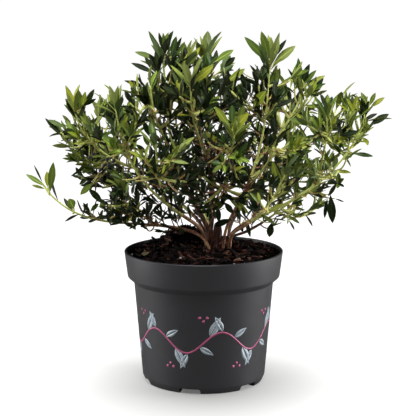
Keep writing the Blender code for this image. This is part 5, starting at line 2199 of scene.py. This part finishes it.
def main() -> None:
    """Builds every piece in order."""
    logging.basicConfig(level=logging.INFO, format="%(name)s %(message)s")
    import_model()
    effects = Effects()
    pot_low, pot_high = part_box("pot")

    floor = FloorFinish(
        "studio_white", (0.25, 0.25, 0.245), (0.24, 0.24, 0.235), (0.6, 0.7), 0.8, 1.0, 300.0, grain_strength=0.05,
        specular=0.1,
    )
    Studio().build(floor.material(effects))

    plastic = Finish(
        "anthracite_plastic", (0.014, 0.014, 0.017), (0.019, 0.019, 0.022), (0.40, 0.52), 26.0, 1.6, 1500.0,
        grain_depth=0.00008, grain_strength=0.25,
    )
    pot = Pot(height=pot_high.z - pot_low.z, rim_radius=(pot_high.x - pot_low.x) / 2)
    settle(pot.build(plastic.material(effects)), Slot.POT, "pot")
    stem_ink = Finish("rose_ink", (0.400, 0.075, 0.170), (0.330, 0.060, 0.140), patch_scale=220.0)
    leaf_ink = Finish("pale_blue_ink", (0.330, 0.385, 0.430), (0.270, 0.320, 0.360), patch_scale=220.0)
    settle(Frieze(pot).build(stem_ink.material(effects), leaf_ink.material(effects)), Slot.POT)

    soil = Soil(pot)
    # The peat, and below it the black and umber chips, are darker than soil is under any lamp: their colours also paint
    # the crown's shade on the soil.
    peat = Finish(
        "damp_peat", (0.0008, 0.0005, 0.0004), (0.0040, 0.0022, 0.0016), (0.85, 1.0), 180.0, 3.0, 700.0,
        grain_depth=0.0012, grain_strength=0.9, specular=0.06,
    )
    settle(soil.build_bed(peat.material(effects)), Slot.SOIL, "soil")
    chips = [
        Finish(name, colour, patch, (0.6, 0.85), 300.0, 2.5, 1200.0, 0.0004, 0.6, specular=0.1)
        for name, colour, patch in (
            ("chip_black", (0.0015, 0.0008, 0.0008), (0.0035, 0.0018, 0.0014)),
            ("chip_umber", (0.0085, 0.0034, 0.0025), (0.0042, 0.0019, 0.0015)),
            ("chip_russet", (0.078, 0.027, 0.019), (0.034, 0.013, 0.010)),
            ("chip_tan", (0.190, 0.100, 0.066), (0.110, 0.056, 0.036)),
        )
    ]
    chip_piece = soil.build_chips([finish.material(effects) for finish in chips], [0.44, 0.29, 0.22, 0.05])
    settle(chip_piece, Slot.SOIL)
    settle(soil.build_crumbs(peat.material(effects)), Slot.SOIL)
    perlite = Finish("white_grain", (0.75, 0.73, 0.68), (0.60, 0.57, 0.52), roughness=(0.7, 0.9), grain_scale=1800.0)
    settle(soil.build_grains(perlite.material(effects)), Slot.SOIL)

    plan = LimbPlan(CrownStump())
    plan.lay_out()
    room = Room(plan)
    bark = WoodFinish(
        "bark", BARK_STEPS[0][1], BARK_STEPS[1][1], (0.50, 0.80), 260.0, 3.0, 600.0,
        grain_depth=0.0006, grain_strength=0.55, stretch=(1.0, 1.0, 0.35), steps=BARK_STEPS,
    ).material(effects)
    wood = Wood(plan)
    settle(wood.build_stump(bark), Slot.BARK, CROWN)
    settle(wood.build_limbs(bark), Slot.BARK, *BOUGH_NODES)

    sight = Sight(plan)
    shoots = Branching(plan, room, sight).grow()
    foliage = Foliage(LeafRule(plan, room, sight))
    leaves = foliage.grow_leaves(shoots)
    settle(foliage.build_shoots(shoots, bark), Slot.FOLIAGE, *FOLIAGE_NODES)
    for age in LeafAgeAndShade:
        piece = foliage.build_leaves(leaves, age, leaf_materials(age, effects))
        settle(piece, Slot.FOLIAGE, *FOLIAGE_NODES)
    dusk = Finish("spent_bud", (0.075, 0.070, 0.085), (0.035, 0.032, 0.042), roughness=(0.6, 0.8), specular=0.2)
    settle(foliage.build_buds(dusk.material(effects)), Slot.FOLIAGE)
    dry = Finish("dry_leaf", (0.260, 0.200, 0.100), (0.160, 0.120, 0.060), roughness=(0.6, 0.8), specular=0.2)
    settle(foliage.build_fallen(dry.material(effects)), Slot.FOLIAGE)
    LOG.info("%d shoots, %d leaves", sum(map(len, shoots.values())), len(leaves))


if __name__ == "__main__":
    main()
